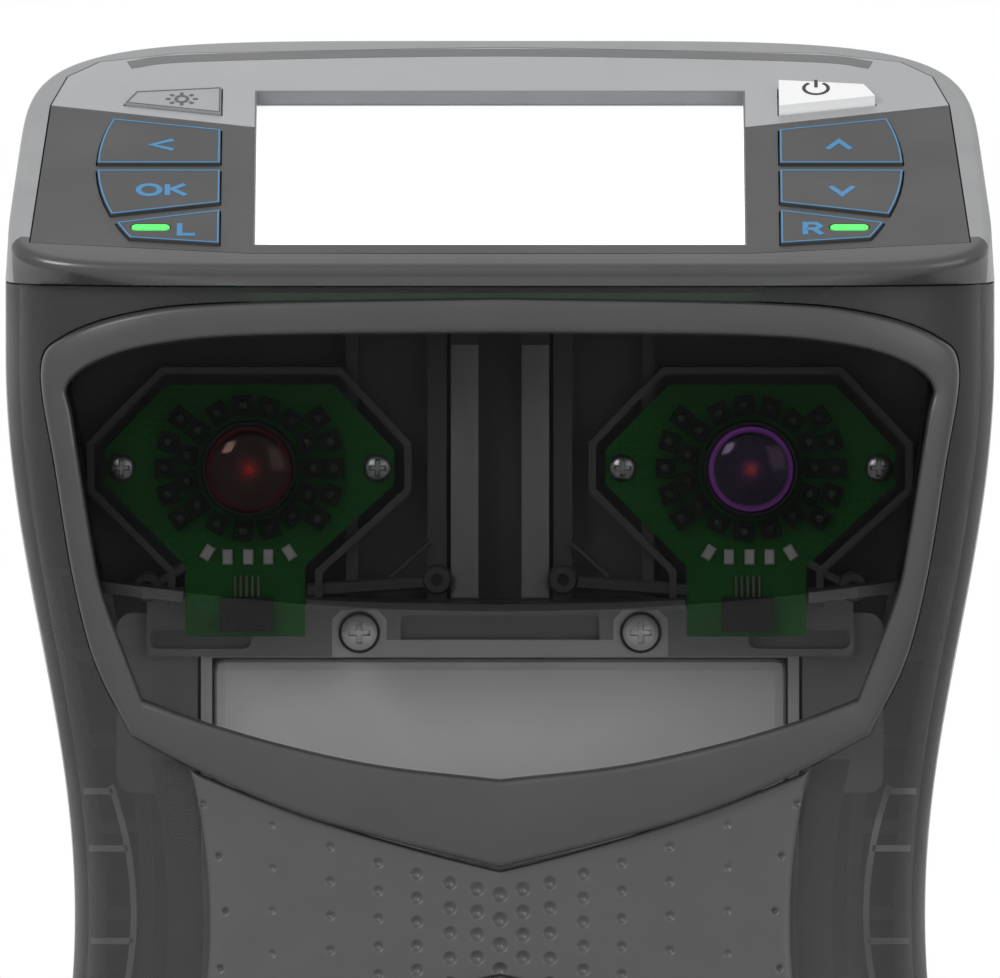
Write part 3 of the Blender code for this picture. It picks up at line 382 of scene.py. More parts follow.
# Black sheets on the floors of the sockets at the back: painted shade in the sockets
SOCKET_PAINTED_SHADE = Finish("socket_floor_painted_shade", "#0c0c0d", 0.6, ior=1.15, slot="dark_shell")
# Pale painted board that the part stands on
PALE_FLOOR = Finish("pale_floor", "#f4f4f4", 0.7, variation=0.01)


@dataclass
class Surface:
    """Points and faces gathered before they become a mesh."""

    points: np.ndarray
    faces: list

    @classmethod
    def grid(cls, points: np.ndarray, wrap_rows: bool = False, wrap_columns: bool = True,
             caps: bool = False) -> "Surface":
        """Joins a grid of points by quads.

        Args:
            points: Array of rows, columns and three coordinates.
            wrap_rows: Whether the last row meets the first.
            wrap_columns: Whether the last column meets the first.
            caps: Whether the first and last rows are closed by one face each.

        Returns:
            The surface; its quad between four neighbours runs row first.
        """
        rows, columns = points.shape[:2]
        index = np.arange(rows * columns).reshape(rows, columns)
        if wrap_rows:
            index = np.concatenate([index, index[:1]])
        if wrap_columns:
            index = np.concatenate([index, index[:, :1]], axis=1)
        quads = np.stack([index[:-1, :-1], index[:-1, 1:], index[1:, 1:], index[1:, :-1]], axis=-1)
        faces = quads.reshape(-1, 4).tolist()
        if caps:
            faces.append(index[0, :columns][::-1].tolist())
            faces.append(index[rows - 1, :columns].tolist())
        return cls(points.reshape(-1, 3), faces)

    @classmethod
    def merge(cls, parts: list["Surface"]) -> "Surface":
        """Puts several surfaces into one.

        Args:
            parts: The surfaces.

        Returns:
            One surface that holds them all.
        """
        shift, faces = 0, []
        for part in parts:
            faces += [[place + shift for place in face] for face in part.faces]
            shift += len(part.points)
        return cls(np.concatenate([part.points for part in parts]), faces)

    def in_bay(self, bay: Bay, waist: float) -> "Surface":
        """The surface as it stands in a bay."""
        return Surface(half_turn(self.points, bay, waist), self.faces)

    def mesh(self, name: str) -> bpy.types.Mesh:
        """Makes the surface a mesh.

        Args:
            name: The mesh's name.

        Returns:
            The mesh.
        """
        made = bpy.data.meshes.new(name)
        made.from_pydata(self.points.tolist(), [], self.faces)
        return made

    def piece(self, name: str, finish: Finish, nodes: tuple[str, ...] = (), smooth: float = 30,
              body: str = "casing") -> bpy.types.Object:
        """Makes the surface a finished piece; dress says what each argument is."""
        return dress(self.mesh(name), name, finish, nodes, smooth, body)


def dress(mesh: bpy.types.Mesh, name: str, finish: Finish, nodes: tuple[str, ...] = (), smooth: float = 30,
          body: str = "casing") -> bpy.types.Object:
    """Cleans a mesh, gives it its finish and seats it on its body.

    Args:
        mesh: The piece's mesh.
        name: The piece's name.
        finish: Its finish, which names the record's material slot.
        nodes: The CAD nodes that it stands for.
        smooth: Angle in degrees past which an edge stays sharp.
        body: The CAD body that it rides on.

    Returns:
        The object, at the origin.
    """
    face_outwards(mesh, weld=True)
    mesh.shade_smooth()
    mesh.set_sharp_from_angle(angle=math.radians(smooth))
    mesh.materials.clear()
    mesh.materials.append(finish.material())
    piece = bpy.data.objects.new(name, mesh)
    bpy.context.scene.collection.objects.link(piece)
    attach(piece, body)
    if nodes:
        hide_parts(*nodes)
    LOG.info("%s on %s", name, body)
    return piece


def face_outwards(mesh: bpy.types.Mesh, weld: bool) -> None:
    """Turns every face of a mesh outwards.

    Args:
        mesh: The mesh.
        weld: Whether points that coincide are joined first.
    """
    shape = bmesh.new()
    shape.from_mesh(mesh)
    if weld:
        bmesh.ops.remove_doubles(shape, verts=shape.verts, dist=WELD)
    bmesh.ops.recalc_face_normals(shape, faces=shape.faces)
    shape.to_mesh(mesh)
    shape.free()


def finish_node(name: str, finish: Finish) -> None:
    """Gives a carried-over CAD node its finish.

    Args:
        name: The node's name.
        finish: Its finish.
    """
    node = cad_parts[name]
    node.data.materials.clear()
    node.data.materials.append(finish.material())


def half_curve(points: tuple, count: int) -> Outline:
    """A smooth open curve through points, evenly spaced along its length.

    The curve is a Catmull-Rom spline whose end tangents point at the next point.

    Args:
        points: Points in millimetres.
        count: How many points to return.

    Returns:
        An array of count rows in metres.
    """
    held = np.array(points) * MM
    held = np.concatenate([[2 * held[0] - held[1]], held, [2 * held[-1] - held[-2]]])
    share = np.linspace(0, 1, SPLINE_STEPS, endpoint=False)[:, None]
    runs = []
    for before, start, end, after in zip(held, held[1:], held[2:], held[3:]):
        square = 2 * before - 5 * start + 4 * end - after
        cube = 3 * start - before - 3 * end + after
        runs.append(0.5 * (2 * start + (end - before) * share + square * share ** 2 + cube * share ** 3))
    fine = np.concatenate([*runs, held[-2:-1]])
    reach = np.concatenate([[0], np.cumsum(np.linalg.norm(np.diff(fine, axis=0), axis=1))])
    places = np.linspace(0, reach[-1], count)
    return np.stack([np.interp(places, reach, fine[:, axis]) for axis in (0, 1)], axis=1)


def mirrored(half: Outline) -> Outline:
    """Closes a right half, whose ends are on the middle line, by its mirror image."""
    return np.concatenate([half, (half * (-1, 1))[-2:0:-1]])


def grown(outline: Outline, distance: float) -> Outline:
    """Moves a closed outline outwards, along the normal between each point's neighbours.

    Args:
        outline: The outline.
        distance: How far it moves.

    Returns:
        The larger outline.
    """
    after = np.roll(outline, -1, axis=0)
    along = after - np.roll(outline, 1, axis=0)
    normal = np.stack([along[:, 1], -along[:, 0]], axis=1)
    normal /= np.linalg.norm(normal, axis=1, keepdims=True)
    area = np.sum(outline[:, 0] * after[:, 1] - after[:, 0] * outline[:, 1])
    return outline + normal * distance * np.sign(area)


def rounded_box(half_width: float, half_height: float, radius: float, centre: tuple[float, float],
                steps: int = 10) -> Outline:
    """A rectangle with round corners, as four quarter circles.

    Args:
        half_width: Half its width.
        half_height: Half its height.
        radius: Radius of its corners.
        centre: Its centre.
        steps: Points of each corner.

    Returns:
        The outline.
    """
    turn = np.linspace(0, QUARTER, steps)
    corners = []
    for quarter, signs in enumerate(((1, 1), (-1, 1), (-1, -1), (1, -1))):
        middle = np.array(centre) + np.array(signs) * (half_width - radius, half_height - radius)
        angle = turn + quarter * QUARTER
        corners.append(middle + radius * np.stack([np.cos(angle), np.sin(angle)], axis=1))
    return np.concatenate(corners)


def raised(flat: Outline, height: float) -> np.ndarray:
    """The points of a flat outline with a height as their third coordinate."""
    return np.concatenate([flat, np.full((len(flat), 1), height)], axis=1)


def slab(outline: Outline, front: float, back: float) -> Surface:
    """An outline of the front view carried from one depth to another, and closed."""
    loops = [np.insert(outline, 1, depth, axis=1) for depth in (front, back)]
    return Surface.grid(np.stack(loops), caps=True)


def turned_rings(profile: np.ndarray, steps: int, centre: tuple[float, float] = (0.0, 0.0)) -> np.ndarray:
    """A profile turned round an upright axis.

    Args:
        profile: Rows of radius and height.
        steps: How many points go round.
        centre: Where the axis stands.

    Returns:
        Array of rings, points and coordinates.
    """
    turn = np.linspace(0, TAU, steps, endpoint=False)
    x = centre[0] + profile[:, :1] * np.cos(turn)
    y = centre[1] + profile[:, :1] * np.sin(turn)
    return np.stack([x, y, np.broadcast_to(profile[:, 1:], x.shape)], axis=-1)


def forward(points: np.ndarray, face: float, centre: tuple[float, float] = (0.0, 0.0)) -> np.ndarray:
    """Lays points whose height runs up so that it runs forward from a face.

    Args:
        points: Array whose last axis is x, y and height.
        face: How far the face is in front of the middle plane.
        centre: Where the points' own origin goes in the front view.

    Returns:
        The points in the part.
    """
    return np.stack([centre[0] + points[..., 0], -face - points[..., 2], centre[1] + points[..., 1]], axis=-1)


def half_turn(points: np.ndarray, bay: Bay, waist: float) -> np.ndarray:
    """Turns points half round about the Y axis at the waist, for the lower bay.

    Args:
        points: The points as they stand in the upper bay.
        bay: Which bay they are for.
        waist: Height of the waist.

    Returns:
        The points in that bay.
    """
    if bay is Bay.UPPER:
        return points
    return points * (-1, 1, -1) + (0, 0, 2 * waist)


def turn_mesh(mesh: bpy.types.Mesh, bay: Bay, waist: float) -> None:
    """Turns a whole mesh half round for the lower bay.

    Args:
        mesh: The mesh as it stands in the upper bay.
        bay: Which bay it is for.
        waist: Height of the waist.
    """
    points = np.empty(len(mesh.vertices) * 3)
    mesh.vertices.foreach_get("co", points)
    mesh.vertices.foreach_set("co", half_turn(points.reshape(-1, 3), bay, waist).ravel())


@dataclass(frozen=True)
class PanHead:
    """A pan-head screw about +Z: a dome whose height drops in a cross near its axis."""

    radius: float
    height: float
    steps: int = 64
    ring_count: int = 22
    eye: float = 0.05
    fullness: float = 1.08
    cross_half: float = 0.15
    cross_reach: float = 0.6
    cross_depth: float = 0.42
    lap: float = 0.02 * MM

    def rings(self) -> np.ndarray:
        """The dome's rings, and a skirt that laps the face below.

        Returns:
            Rings of points from the crown out to the skirt.
        """
        turn = np.linspace(0, TAU, self.steps, endpoint=False)
        reach = np.linspace(self.eye, 1, self.ring_count)[:, None]
        x, y = reach * np.cos(turn), reach * np.sin(turn)
        dome = self.height * np.sqrt(np.clip(1 - (reach / self.fullness) ** 2, 0, 1)) + 0 * turn
        cross = np.minimum(np.abs(x), np.abs(y)) < self.cross_half
        sunk = self.cross_depth * self.height * (cross & (reach < self.cross_reach))
        top = np.stack([x * self.radius, y * self.radius, dome - sunk], axis=-1)
        skirt = top[-1:] * (1, 1, 0) - (0, 0, self.lap)
        return np.concatenate([top, skirt])


@dataclass(frozen=True)
class Casing:
    """The hourglass form: a superellipse in plan, whose half width follows a cosine from waist to hips."""

    hip_half: float = 89.0 * MM
    waist_half: float = 76.6 * MM
    hip_front: float = 47.0 * MM
    waist_front: float = 43.0 * MM
    hip_back: float = 51.0 * MM
    waist_back: float = 47.0 * MM
    waist: float = 162.0 * MM
    reach: float = 101.0 * MM
    seam: float = 114.3 * MM
    front_power: float = 5.0
    back_power: float = 3.5
    wall: float = 2.5 * MM
    columns: int = 120
    rows: int = 90
    easing: float = 0.32
    far: float = 0.2

    @property
    def powers(self) -> tuple[float, float]:
        """The superellipse's power in front and behind."""
        return self.front_power, self.back_power

    def swell(self, z: np.ndarray) -> np.ndarray:
        """0 at the waist and 1 at the hips, half a cosine wave between them."""
        return (1 - np.cos(math.pi * np.minimum(np.abs(z - self.waist), self.reach) / self.reach)) / 2

    def half_width(self, z: np.ndarray) -> np.ndarray:
        """Half the width at a height."""
        return self.waist_half + (self.hip_half - self.waist_half) * self.swell(z)

    def depth(self, z: np.ndarray, back: bool) -> np.ndarray:
        """Depth before or behind the middle plane at a height."""
        waist, hip = (self.waist_back, self.hip_back) if back else (self.waist_front, self.hip_front)
        return waist + (hip - waist) * self.swell(z)

    def front(self, flat: np.ndarray, offset: np.ndarray | float) -> np.ndarray:
        """Lifts points of the front view onto the front surface.

        The superellipse gives y = -depth * (1 - |x / half| ** n) ** (1 / n).

        Args:
            flat: Array whose last axis is x and z.
            offset: How far outside the casing's surface the points lie.

        Returns:
            The points with three coordinates.
        """
        x, z = flat[..., 0], flat[..., 1]
        share = np.clip(np.abs(x) / (self.half_width(z) + offset), 0, 1)
        y = -(self.depth(z, False) + offset) * (1 - share ** self.front_power) ** (1 / self.front_power)
        return np.stack([x, y - CLEAR / 2, z], axis=-1)

    def half_ring(self, z: np.ndarray, offset: float, back: bool) -> np.ndarray:
        """One half of the plan at each height, from +X round to -X.

        Args:
            z: Heights.
            offset: How far outside the casing's surface.
            back: Which half.

        Returns:
            Array of heights, columns and coordinates.
        """
        turn = np.linspace(0, math.pi, self.columns)
        # Even steps along the superellipse come from easing the angle towards its straight sides
        turn = turn - self.easing * np.sin(4 * turn) / 2
        power = self.back_power if back else self.front_power
        across = np.sign(np.cos(turn)) * np.abs(np.cos(turn)) ** (2 / power)
        along = np.clip(np.sin(turn), 0, 1) ** (2 / power)
        half = (self.half_width(z) + offset)[:, None]
        depth = (self.depth(z, back) + offset)[:, None]
        sign = 1 if back else -1
        y = sign * (depth * along + CLEAR / 2)
        return np.stack([half * across, y, np.broadcast_to(z[:, None], y.shape)], axis=-1)

    def shell(self, back: bool) -> Surface:
        """Half of the casing's wall, closed: outer face, inner face and the edges between them.

        Args:
            back: Which half.

        Returns:
            The wall.
        """
        low, high = self.waist - self.seam + CLEAR, self.waist + self.seam - CLEAR
        z = np.linspace(low, high, self.rows)
        outer = self.half_ring(z, 0, back)
        inner = self.half_ring(z, -self.wall, back)
        return Surface.grid(np.concatenate([outer, inner[:, ::-1]], axis=1), caps=True)

    def prism(self, outline: Outline, back: bool) -> Surface:
        """An outline of the front view, carried through the front or back half."""
        return slab(outline, 0, self.far if back else -self.far)


def temporary(surface: Surface) -> bpy.types.Object:
    """Makes a surface an object that lives only while something is cut.

    Args:
        surface: The closed surface.

    Returns:
        The object.
    """
    mesh = surface.mesh("temporary")
    face_outwards(mesh, weld=False)
    made = bpy.data.objects.new("temporary", mesh)
    bpy.context.scene.collection.objects.link(made)
    return made


def trimmed(surface: Surface, cutters: list[Surface], cut: Cut) -> bpy.types.Mesh:
    """Cuts a closed surface with others.

    Args:
        surface: What is cut.
        cutters: The closed surfaces that cut it.
        cut: What the cutters leave.

    Returns:
        The mesh that is left.
    """
    whole = temporary(surface)
    tools = [temporary(cutter) for cutter in cutters]
    for cutter in tools:
        modifier = whole.modifiers.new("trim", "BOOLEAN")
        modifier.operation = cut.value
        modifier.object = cutter
    bpy.context.view_layer.update()
    left = bpy.data.meshes.new_from_object(whole.evaluated_get(bpy.context.evaluated_depsgraph_get()))
    for used in [whole, *tools]:
        bpy.data.objects.remove(used)
    return left


@dataclass
class Visor:
    """A bay's visor: the ring round the window, the dark window and the paler shield below it.

    Each half outline is a smooth run down the side to a sharp corner, then a smooth run to the bottom.
    """

    casing: Casing
    outer_side: tuple = ((0, 274), (48, 273.1), (66, 271.2), (78, 267), (82.2, 261), (79.6, 243),
                         (76.4, 223.5), (72.5, 208.5), (66, 195.6))
    outer_foot: tuple = ((66, 195.6), (54, 189.3), (38, 182.3), (21, 177.2), (0, 172))
    inner_side: tuple = ((0, 267.9), (41.7, 267.5), (59.6, 266.1), (71, 263.2), (77.3, 258.5), (76.5, 252),
                         (73, 229.8), (70.7, 219.5), (64, 202))
    inner_foot: tuple = ((64, 202), (53, 198), (38, 193.7), (21, 190.1), (0, 187.7))
    shield_edge: tuple = ((-90, 226.5), (-74, 223.6), (-50, 220.6), (-25, 218.6), (0, 217.9), (25, 218.6),
                          (50, 220.6), (74, 223.6), (90, 226.5))
    shield_joint: float = 0.15 * MM
    shield_count: int = 160
    beyond: tuple = ((0.1, 0.32), (-0.1, 0.32))
    proud: float = 4.0 * MM
    behind: float = 3.0 * MM
    window_proud: float = 2.0 * MM
    window_rings: int = 24
    window_eye: float = 0.02
    edge: float = 1.2 * MM
    edge_steps: int = 5
    side_count: int = 170
    foot_count: int = 80
    middle: tuple[float, float] = (0.0, 0.23)

    def half(self, side: tuple, foot: tuple) -> Outline:
        """One right half, from the top to the bottom, with a sharp corner between its two runs."""
        return np.concatenate([half_curve(side, self.side_count), half_curve(foot, self.foot_count)[1:]])

    def outlines(self) -> tuple[Outline, Outline]:
        """The ring's outer and inner outlines in the front view."""
        halves = ((self.outer_side, self.outer_foot), (self.inner_side, self.inner_foot))
        return tuple(mirrored(self.half(side, foot)) for side, foot in halves)

    def ring(self) -> Surface:
        """The ring: a strip with two rounded edges, carried round both outlines and closed on itself.

        The profile runs from the inner wall over a quarter circle, across the face and over a second
        quarter circle to the outer wall; its place between the outlines is its distance over their distance.

        Returns:
            The ring of the upper bay.
        """
        outer, inner = self.outlines()
        width = np.linalg.norm(outer - inner, axis=1)[:, None]
        turn = np.linspace(0, QUARTER, self.edge_steps)
        inset = self.edge * (1 - np.cos(turn))
        drop = self.edge * (1 - np.sin(turn))
        profile = [(step / width, self.proud - fall) for step, fall in zip(inset, drop)]
        profile += [(1 - step / width, self.proud - fall) for step, fall in zip(inset[::-1], drop[::-1])]
        profile += [(1.0, -self.behind), (0.0, -self.behind)]
        loops = [self.casing.front(inner + (outer - inner) * share, depth) for share, depth in profile]
        return Surface.grid(np.stack(loops), wrap_rows=True)

    def window(self) -> Surface:
        """The whole pane: rings drawn in from its edge to the middle, on a front and a back face.

        Returns:
            The pane of the upper bay.
        """
        _, inner = self.outlines()
        edge = grown(inner, -CLEAR)
        middle = np.array(self.middle)
        shares = np.linspace(self.window_eye, 1, self.window_rings)
        front = [self.casing.front(middle + (edge - middle) * share, self.window_proud) for share in shares]
        back = [self.casing.front(middle + (edge - middle) * share, 0.0) for share in shares[::-1]]
        return Surface.grid(np.stack(front + back), caps=True)

    def shield_prism(self, drop: float) -> Surface:
        """All that lies above the shield's curved edge, which can be let down a little."""
        line = half_curve(self.shield_edge, self.shield_count) - (0, drop)
        return self.casing.prism(np.concatenate([line, self.beyond]), False)

    def build(self, bay: Bay) -> None:
        """Makes the ring, the window and the shield of a bay.

        Args:
            bay: Which bay.
        """
        waist = self.casing.waist
        node = f"{bay.value}_visor_ring"
        self.ring().in_bay(bay, waist).piece(f"{node}_skin", VISOR, (node,), smooth=32)
        node = f"{bay.value}_window"
        for name, finish, nodes, drop, cut in (
                ("pane", WINDOW, (node,), 0.0, Cut.INSIDE),
                ("shield", SHIELD, (), self.shield_joint, Cut.OUTSIDE)):
            mesh = trimmed(self.window(), [self.shield_prism(drop)], cut)
            turn_mesh(mesh, bay, waist)
            dress(mesh, f"{node}_{name}", finish, nodes, smooth=32)


@dataclass
class Shells:
    """The front and rear shells, the battery door and the port panel."""

    casing: Casing
    visor: Visor
    door: tuple[float, float, float] = (34.0 * MM, 46.0 * MM, 6.0 * MM)
    ports: tuple[float, float, float] = (27.0 * MM, 9.0 * MM, 3.0 * MM)
    port_height: float = 72.0 * MM
    sockets_mm: tuple = ((-16, 8, 10), (0, 9, 4), (15, 12, 9))
    socket_depth: float = 1.6 * MM
    shade_gap_mm: float = 0.2
    shade_round: float = 0.6 * MM
    shade_levels: tuple[float, float] = (0.02 * MM, 0.2 * MM)

    def build(self) -> None:
        """Makes the shell pieces and dresses the port panel."""
        outer, _ = self.visor.outlines()
        opening = grown(outer, CLEAR)
        lower = opening * (-1, -1) + (0, 2 * self.casing.waist)
        door = rounded_box(*self.door, (0, self.casing.waist))
        ports = rounded_box(*self.ports, (0, self.port_height))
        for node, finish, back, outlines, cut in (
                ("front_shell", SMOKED_PC, False, (opening, lower), Cut.OUTSIDE),
                ("rear_shell", DARK_PC, True, (grown(door, CLEAR), grown(ports, CLEAR)), Cut.OUTSIDE),
                ("battery_door", DARK_PC, True, (door,), Cut.INSIDE)):
            cutters = [self.casing.prism(outline, back) for outline in outlines]
            mesh = trimmed(self.casing.shell(back), cutters, cut)
            dress(mesh, f"{node}_skin", finish, (node,), smooth=32)
        finish_node("port_panel", DARK_PC)
        self.liners()

    def liners(self) -> None:
        """Makes black sheets on the floors of the port panel's sockets: painted shade in the sockets."""
        floor = float(self.casing.depth(np.array(self.port_height), True)) - self.socket_depth
        made = []
        for x, *size in self.sockets_mm:
            half_x, half_z = [(value / 2 - self.shade_gap_mm) * MM for value in size]
            line = rounded_box(half_x, half_z, self.shade_round, (x * MM, self.port_height))
            made.append(slab(line, *[floor + level for level in self.shade_levels]))
        Surface.merge(made).piece("port_socket_liners", SOCKET_PAINTED_SHADE)


@dataclass
class DimpledCover:
    """The bow-tie cover at the waist, with columns of round dimples that shrink towards its sides."""

    casing: Casing
    half: float = 52.0 * MM
    flare: float = 4.5
    flare_passes: int = 3
    top_mm: tuple[float, float, float] = (9.3, 0.235, 0.0016)
    proud: float = 1.6 * MM
    columns_mm: tuple = (0, 4.1, 8.95, 14.9, 21.8, 30.4, 40.8)
    radii_mm: tuple = (1.43, 1.34, 1.25, 1.16, 0.98, 0.9, 0.72)
    pitches_mm: tuple = (4.5, 4.1, 4.5, 4.3, 5.0, 6.2, 7.7)
    firsts_mm: tuple = (167.1, 168.1, 169.2, 170.8, 172.8, 175.7, 179.6)
    last_row_share: float = 0.9
    pin_holes_mm: tuple = ((53.2, 183.4), (50.4, 174.0), (49.2, 164.1), (50.1, 153.9))
    pin_hole_radius: float = 0.7 * MM
    edge_drop: float = 0.5 * MM
    edge_sharpness: float = 120.0
    edge_aspect: float = 0.6
    across: int = 481
    upward: int = 169
    back_stride: int = 4
    sink: float = 0.62
    bowl: float = 1.5

    def top(self, x: np.ndarray) -> np.ndarray:
        """Height of the cover's upper edge above the waist: a blunt V under the visor.

        Args:
            x: Distance across from the middle.

        Returns:
            The height, a square function of the distance.
        """
        reach = np.abs(x) / MM
        start, slope, bow = self.top_mm
        return (start + slope * reach + bow * reach ** 2) * MM

    def dimples(self) -> list[tuple[float, float, float, float]]:
        """Centre, radius and depth of every dimple and pin hole.

        Returns:
            One row for each.
        """
        made = []
        tables = (self.columns_mm, self.radii_mm, self.pitches_mm, self.firsts_mm)
        for column, radius, pitch, first in zip(*tables):
            last = 2 * self.casing.waist / MM - first
            for row in range(int((first - last) / pitch + self.last_row_share) + 1):
                for side in ((-1, 1) if column else (1,)):
                    made.append((side * column * MM, (first - row * pitch) * MM, radius * MM,
                                 self.sink * radius * MM))
        for x, z in self.pin_holes_mm:
            made += [(side * x * MM, z * MM, self.pin_hole_radius, self.pin_hole_radius) for side in (-1, 1)]
        return made

    def build(self) -> None:
        """Makes the cover: a front grid pressed in by each dimple, a back face and the rim between them.

        Each dimple lowers the face by its depth times 1 minus the distance share to the power of the bowl.
        """
        share = np.linspace(-1, 1, self.across)[None, :]
        rise = np.linspace(-1, 1, self.upward)[:, None]
        x = np.broadcast_to(share * self.half, (self.upward, self.across))
        for _ in range(self.flare_passes):
            z = rise * self.top(x)
            x = share * (self.half + self.flare * z ** 2)
        flat = np.stack([x, z + self.casing.waist], axis=-1)
        edge = np.minimum(1 - np.abs(share), (1 - np.abs(rise)) * self.edge_aspect)
        depth = self.proud - self.edge_drop * np.exp(-np.clip(edge, 0, 1) * self.edge_sharpness)
        for centre_x, centre_z, radius, sink in self.dimples():
            away = ((flat[..., 0] - centre_x) ** 2 + (flat[..., 1] - centre_z) ** 2) / radius ** 2
            depth = depth - sink * np.clip(1 - away ** (self.bowl / 2), 0, 1)
        front = self.casing.front(flat, depth)
        back = self.casing.front(flat, CLEAR)
        rim = [np.concatenate([face[0], face[1:, -1], face[-1, -2::-1], face[-2:0:-1, 0]])
               for face in (front, back)]
        coarse = back[::-self.back_stride, ::self.back_stride]
        parts = [Surface.grid(front, wrap_columns=False), Surface.grid(coarse, wrap_columns=False),
                 Surface.grid(np.stack(rim))]
        Surface.merge(parts).piece("dimpled_cover_skin", COVER, ("dimpled_cover",), smooth=50)


@dataclass
class TopHousing:
    """The leaning cap: a pale rim round the sloping panel and a dark glossy lip at its front."""

    casing: Casing
    lip_y: float = -47.0 * MM
    lip_z: float = 281.0 * MM
    lip_end: float = 7.0 * MM
    slope: float = math.radians(28)
    half: float = 86.9 * MM
    taper: float = 0.69
    centre: float = 36.0 * MM
    front: float = 39.0 * MM
    back: float = 45.3 * MM
    front_power: float = 8.0
    back_power: float = 4.8
    rounding: float = 1.8 * MM
    round_steps: int = 6
    foot_front: float = 50.0 * MM
    foot_inner: tuple[float, float, float] = (0.93, 0.9, 1.0)
    bulge: float = 2.0 * MM
    side_steps: int = 8
    seat: float = 1.9 * MM
    joint: float = 0.06 * MM
    fascia: tuple = ((0, 2.2), (45, 2.2), (84.1, 6.1), (80.9, 56.2), (78, 66.7), (72.3, 72.1), (58.1, 75.3),
                     (0, 77.5))
    columns: int = 480
    easing: float = 0.3

    def panel(self, flat: np.ndarray, height: np.ndarray | float) -> np.ndarray:
        """Places points of the panel: x across, u up the slope, and a height square to it.

        Args:
            flat: Array whose last axis is x and u.
            height: Height of the points above the panel.

        Returns:
            The points with three coordinates.
        """
        x, u = flat[..., 0], flat[..., 1]
        cosine, sine = math.cos(self.slope), math.sin(self.slope)
        y = self.lip_y + u * cosine - height * sine
        z = self.lip_z + u * sine + height * cosine
        return np.stack([x, y, z], axis=-1)

    def plan(self, half: float, front: float, back: float, powers: tuple[float, float]) -> Outline:
        """A closed superellipse with its own power in front and behind.

        Args:
            half: Half its width.
            front: Its depth in front.
            back: Its depth behind.
            powers: The power in front and the power behind.

        Returns:
            Its points, spread by easing the angle towards the straight sides.
        """
        turn = np.linspace(0, TAU, self.columns, endpoint=False)
        turn = turn - self.easing * np.sin(4 * turn) / 2
        across, along = np.cos(turn), np.sin(turn)
        power = np.where(along > 0, powers[1], powers[0])
        depth = np.where(along > 0, back, front)
        return np.stack([half * np.sign(across) * np.abs(across) ** (2 / power),
                         depth * np.sign(along) * np.abs(along) ** (2 / power)], axis=1)

    def rim(self, inset: float) -> Outline:
        """The panel's rim drawn in by an inset: a superellipse that narrows up the slope by the taper.

        Args:
            inset: How far it is drawn in.

        Returns:
            The rim's points on the panel.
        """
        made = self.plan(self.half - inset, self.front - inset, self.back - inset,
                         (self.front_power, self.back_power))
        return np.stack([made[:, 0] * (1 - self.taper * made[:, 1]), self.centre + made[:, 1]], axis=1)

    def pocket(self) -> Outline:
        """The panel's pocket, met by rays from the rim's middle through the rim's points.

        Returns:
            One point of the pocket's edge for each point of the rim.
        """
        middle = np.array([0, self.centre])
        toward = self.rim(0) - middle
        start = mirrored(np.array(self.fascia) * MM)
        along = np.roll(start, -1, axis=0) - start
        cross = toward[:, None, 0] * along[None, :, 1] - toward[:, None, 1] * along[None, :, 0]
        away = start[None] - middle
        reach = (away[..., 0] * along[None, :, 1] - away[..., 1] * along[None, :, 0]) / cross
        place = (away[..., 0] * toward[:, None, 1] - away[..., 1] * toward[:, None, 0]) / cross
        on_edge = (place >= -TINY) & (place <= 1 + TINY) & (reach > 0)
        hit = np.where(on_edge, reach, np.inf).min(axis=1)
        return middle + toward * hit[:, None] * (1 + CLEAR / np.linalg.norm(toward, axis=1, keepdims=True))

    def loops(self) -> np.ndarray:
        """The rim's profile carried round: foot, side, rounding, flat top, pocket wall and inner foot.

        Returns:
            Array of loops, columns and coordinates.
        """
        low = self.casing.waist + self.casing.seam + self.joint
        plan = self.plan(self.casing.hip_half, self.foot_front, self.casing.hip_back, self.casing.powers)
        foot = raised(plan, low)
        crown = self.panel(self.rim(0), -self.rounding)
        behind = np.clip(foot[:, 1] / self.casing.hip_back, 0, 1)
        loops = [foot]
        for share in np.linspace(0, 1, self.side_steps + 1)[1:]:
            bow = np.zeros_like(foot)
            bow[:, 1] = self.bulge * math.sin(math.pi * share) * behind
            loops.append(foot + (crown - foot) * share + bow)
        for turn in np.linspace(0, QUARTER, self.round_steps + 1)[1:]:
            loops.append(self.panel(self.rim(self.rounding * (1 - math.cos(turn))),
                                    -self.rounding * (1 - math.sin(turn))))
        pocket = self.pocket()
        loops += [self.panel(pocket, 0.0), self.panel(pocket, -self.seat), foot * self.foot_inner]
        return np.stack(loops)

    def build(self) -> None:
        """Makes the pale rim and the dark lip, split where the panel's front corners turn."""
        loops = self.loops()
        dark = np.flatnonzero(self.rim(0)[:, 1] < self.lip_end)
        first, last = dark[0], dark[-1]
        lip = loops[:, first:last + 1]
        rest = np.concatenate([loops[:, last:], loops[:, :first + 1]], axis=1)
        for name, part, finish, nodes in (("housing_rim", rest, LIGHT_ABS, ("top_housing",)),
                                          ("housing_lip", lip, LIP_GLOSS, ())):
            Surface.grid(np.swapaxes(part, 0, 1), caps=True).piece(name, finish, nodes, smooth=40)


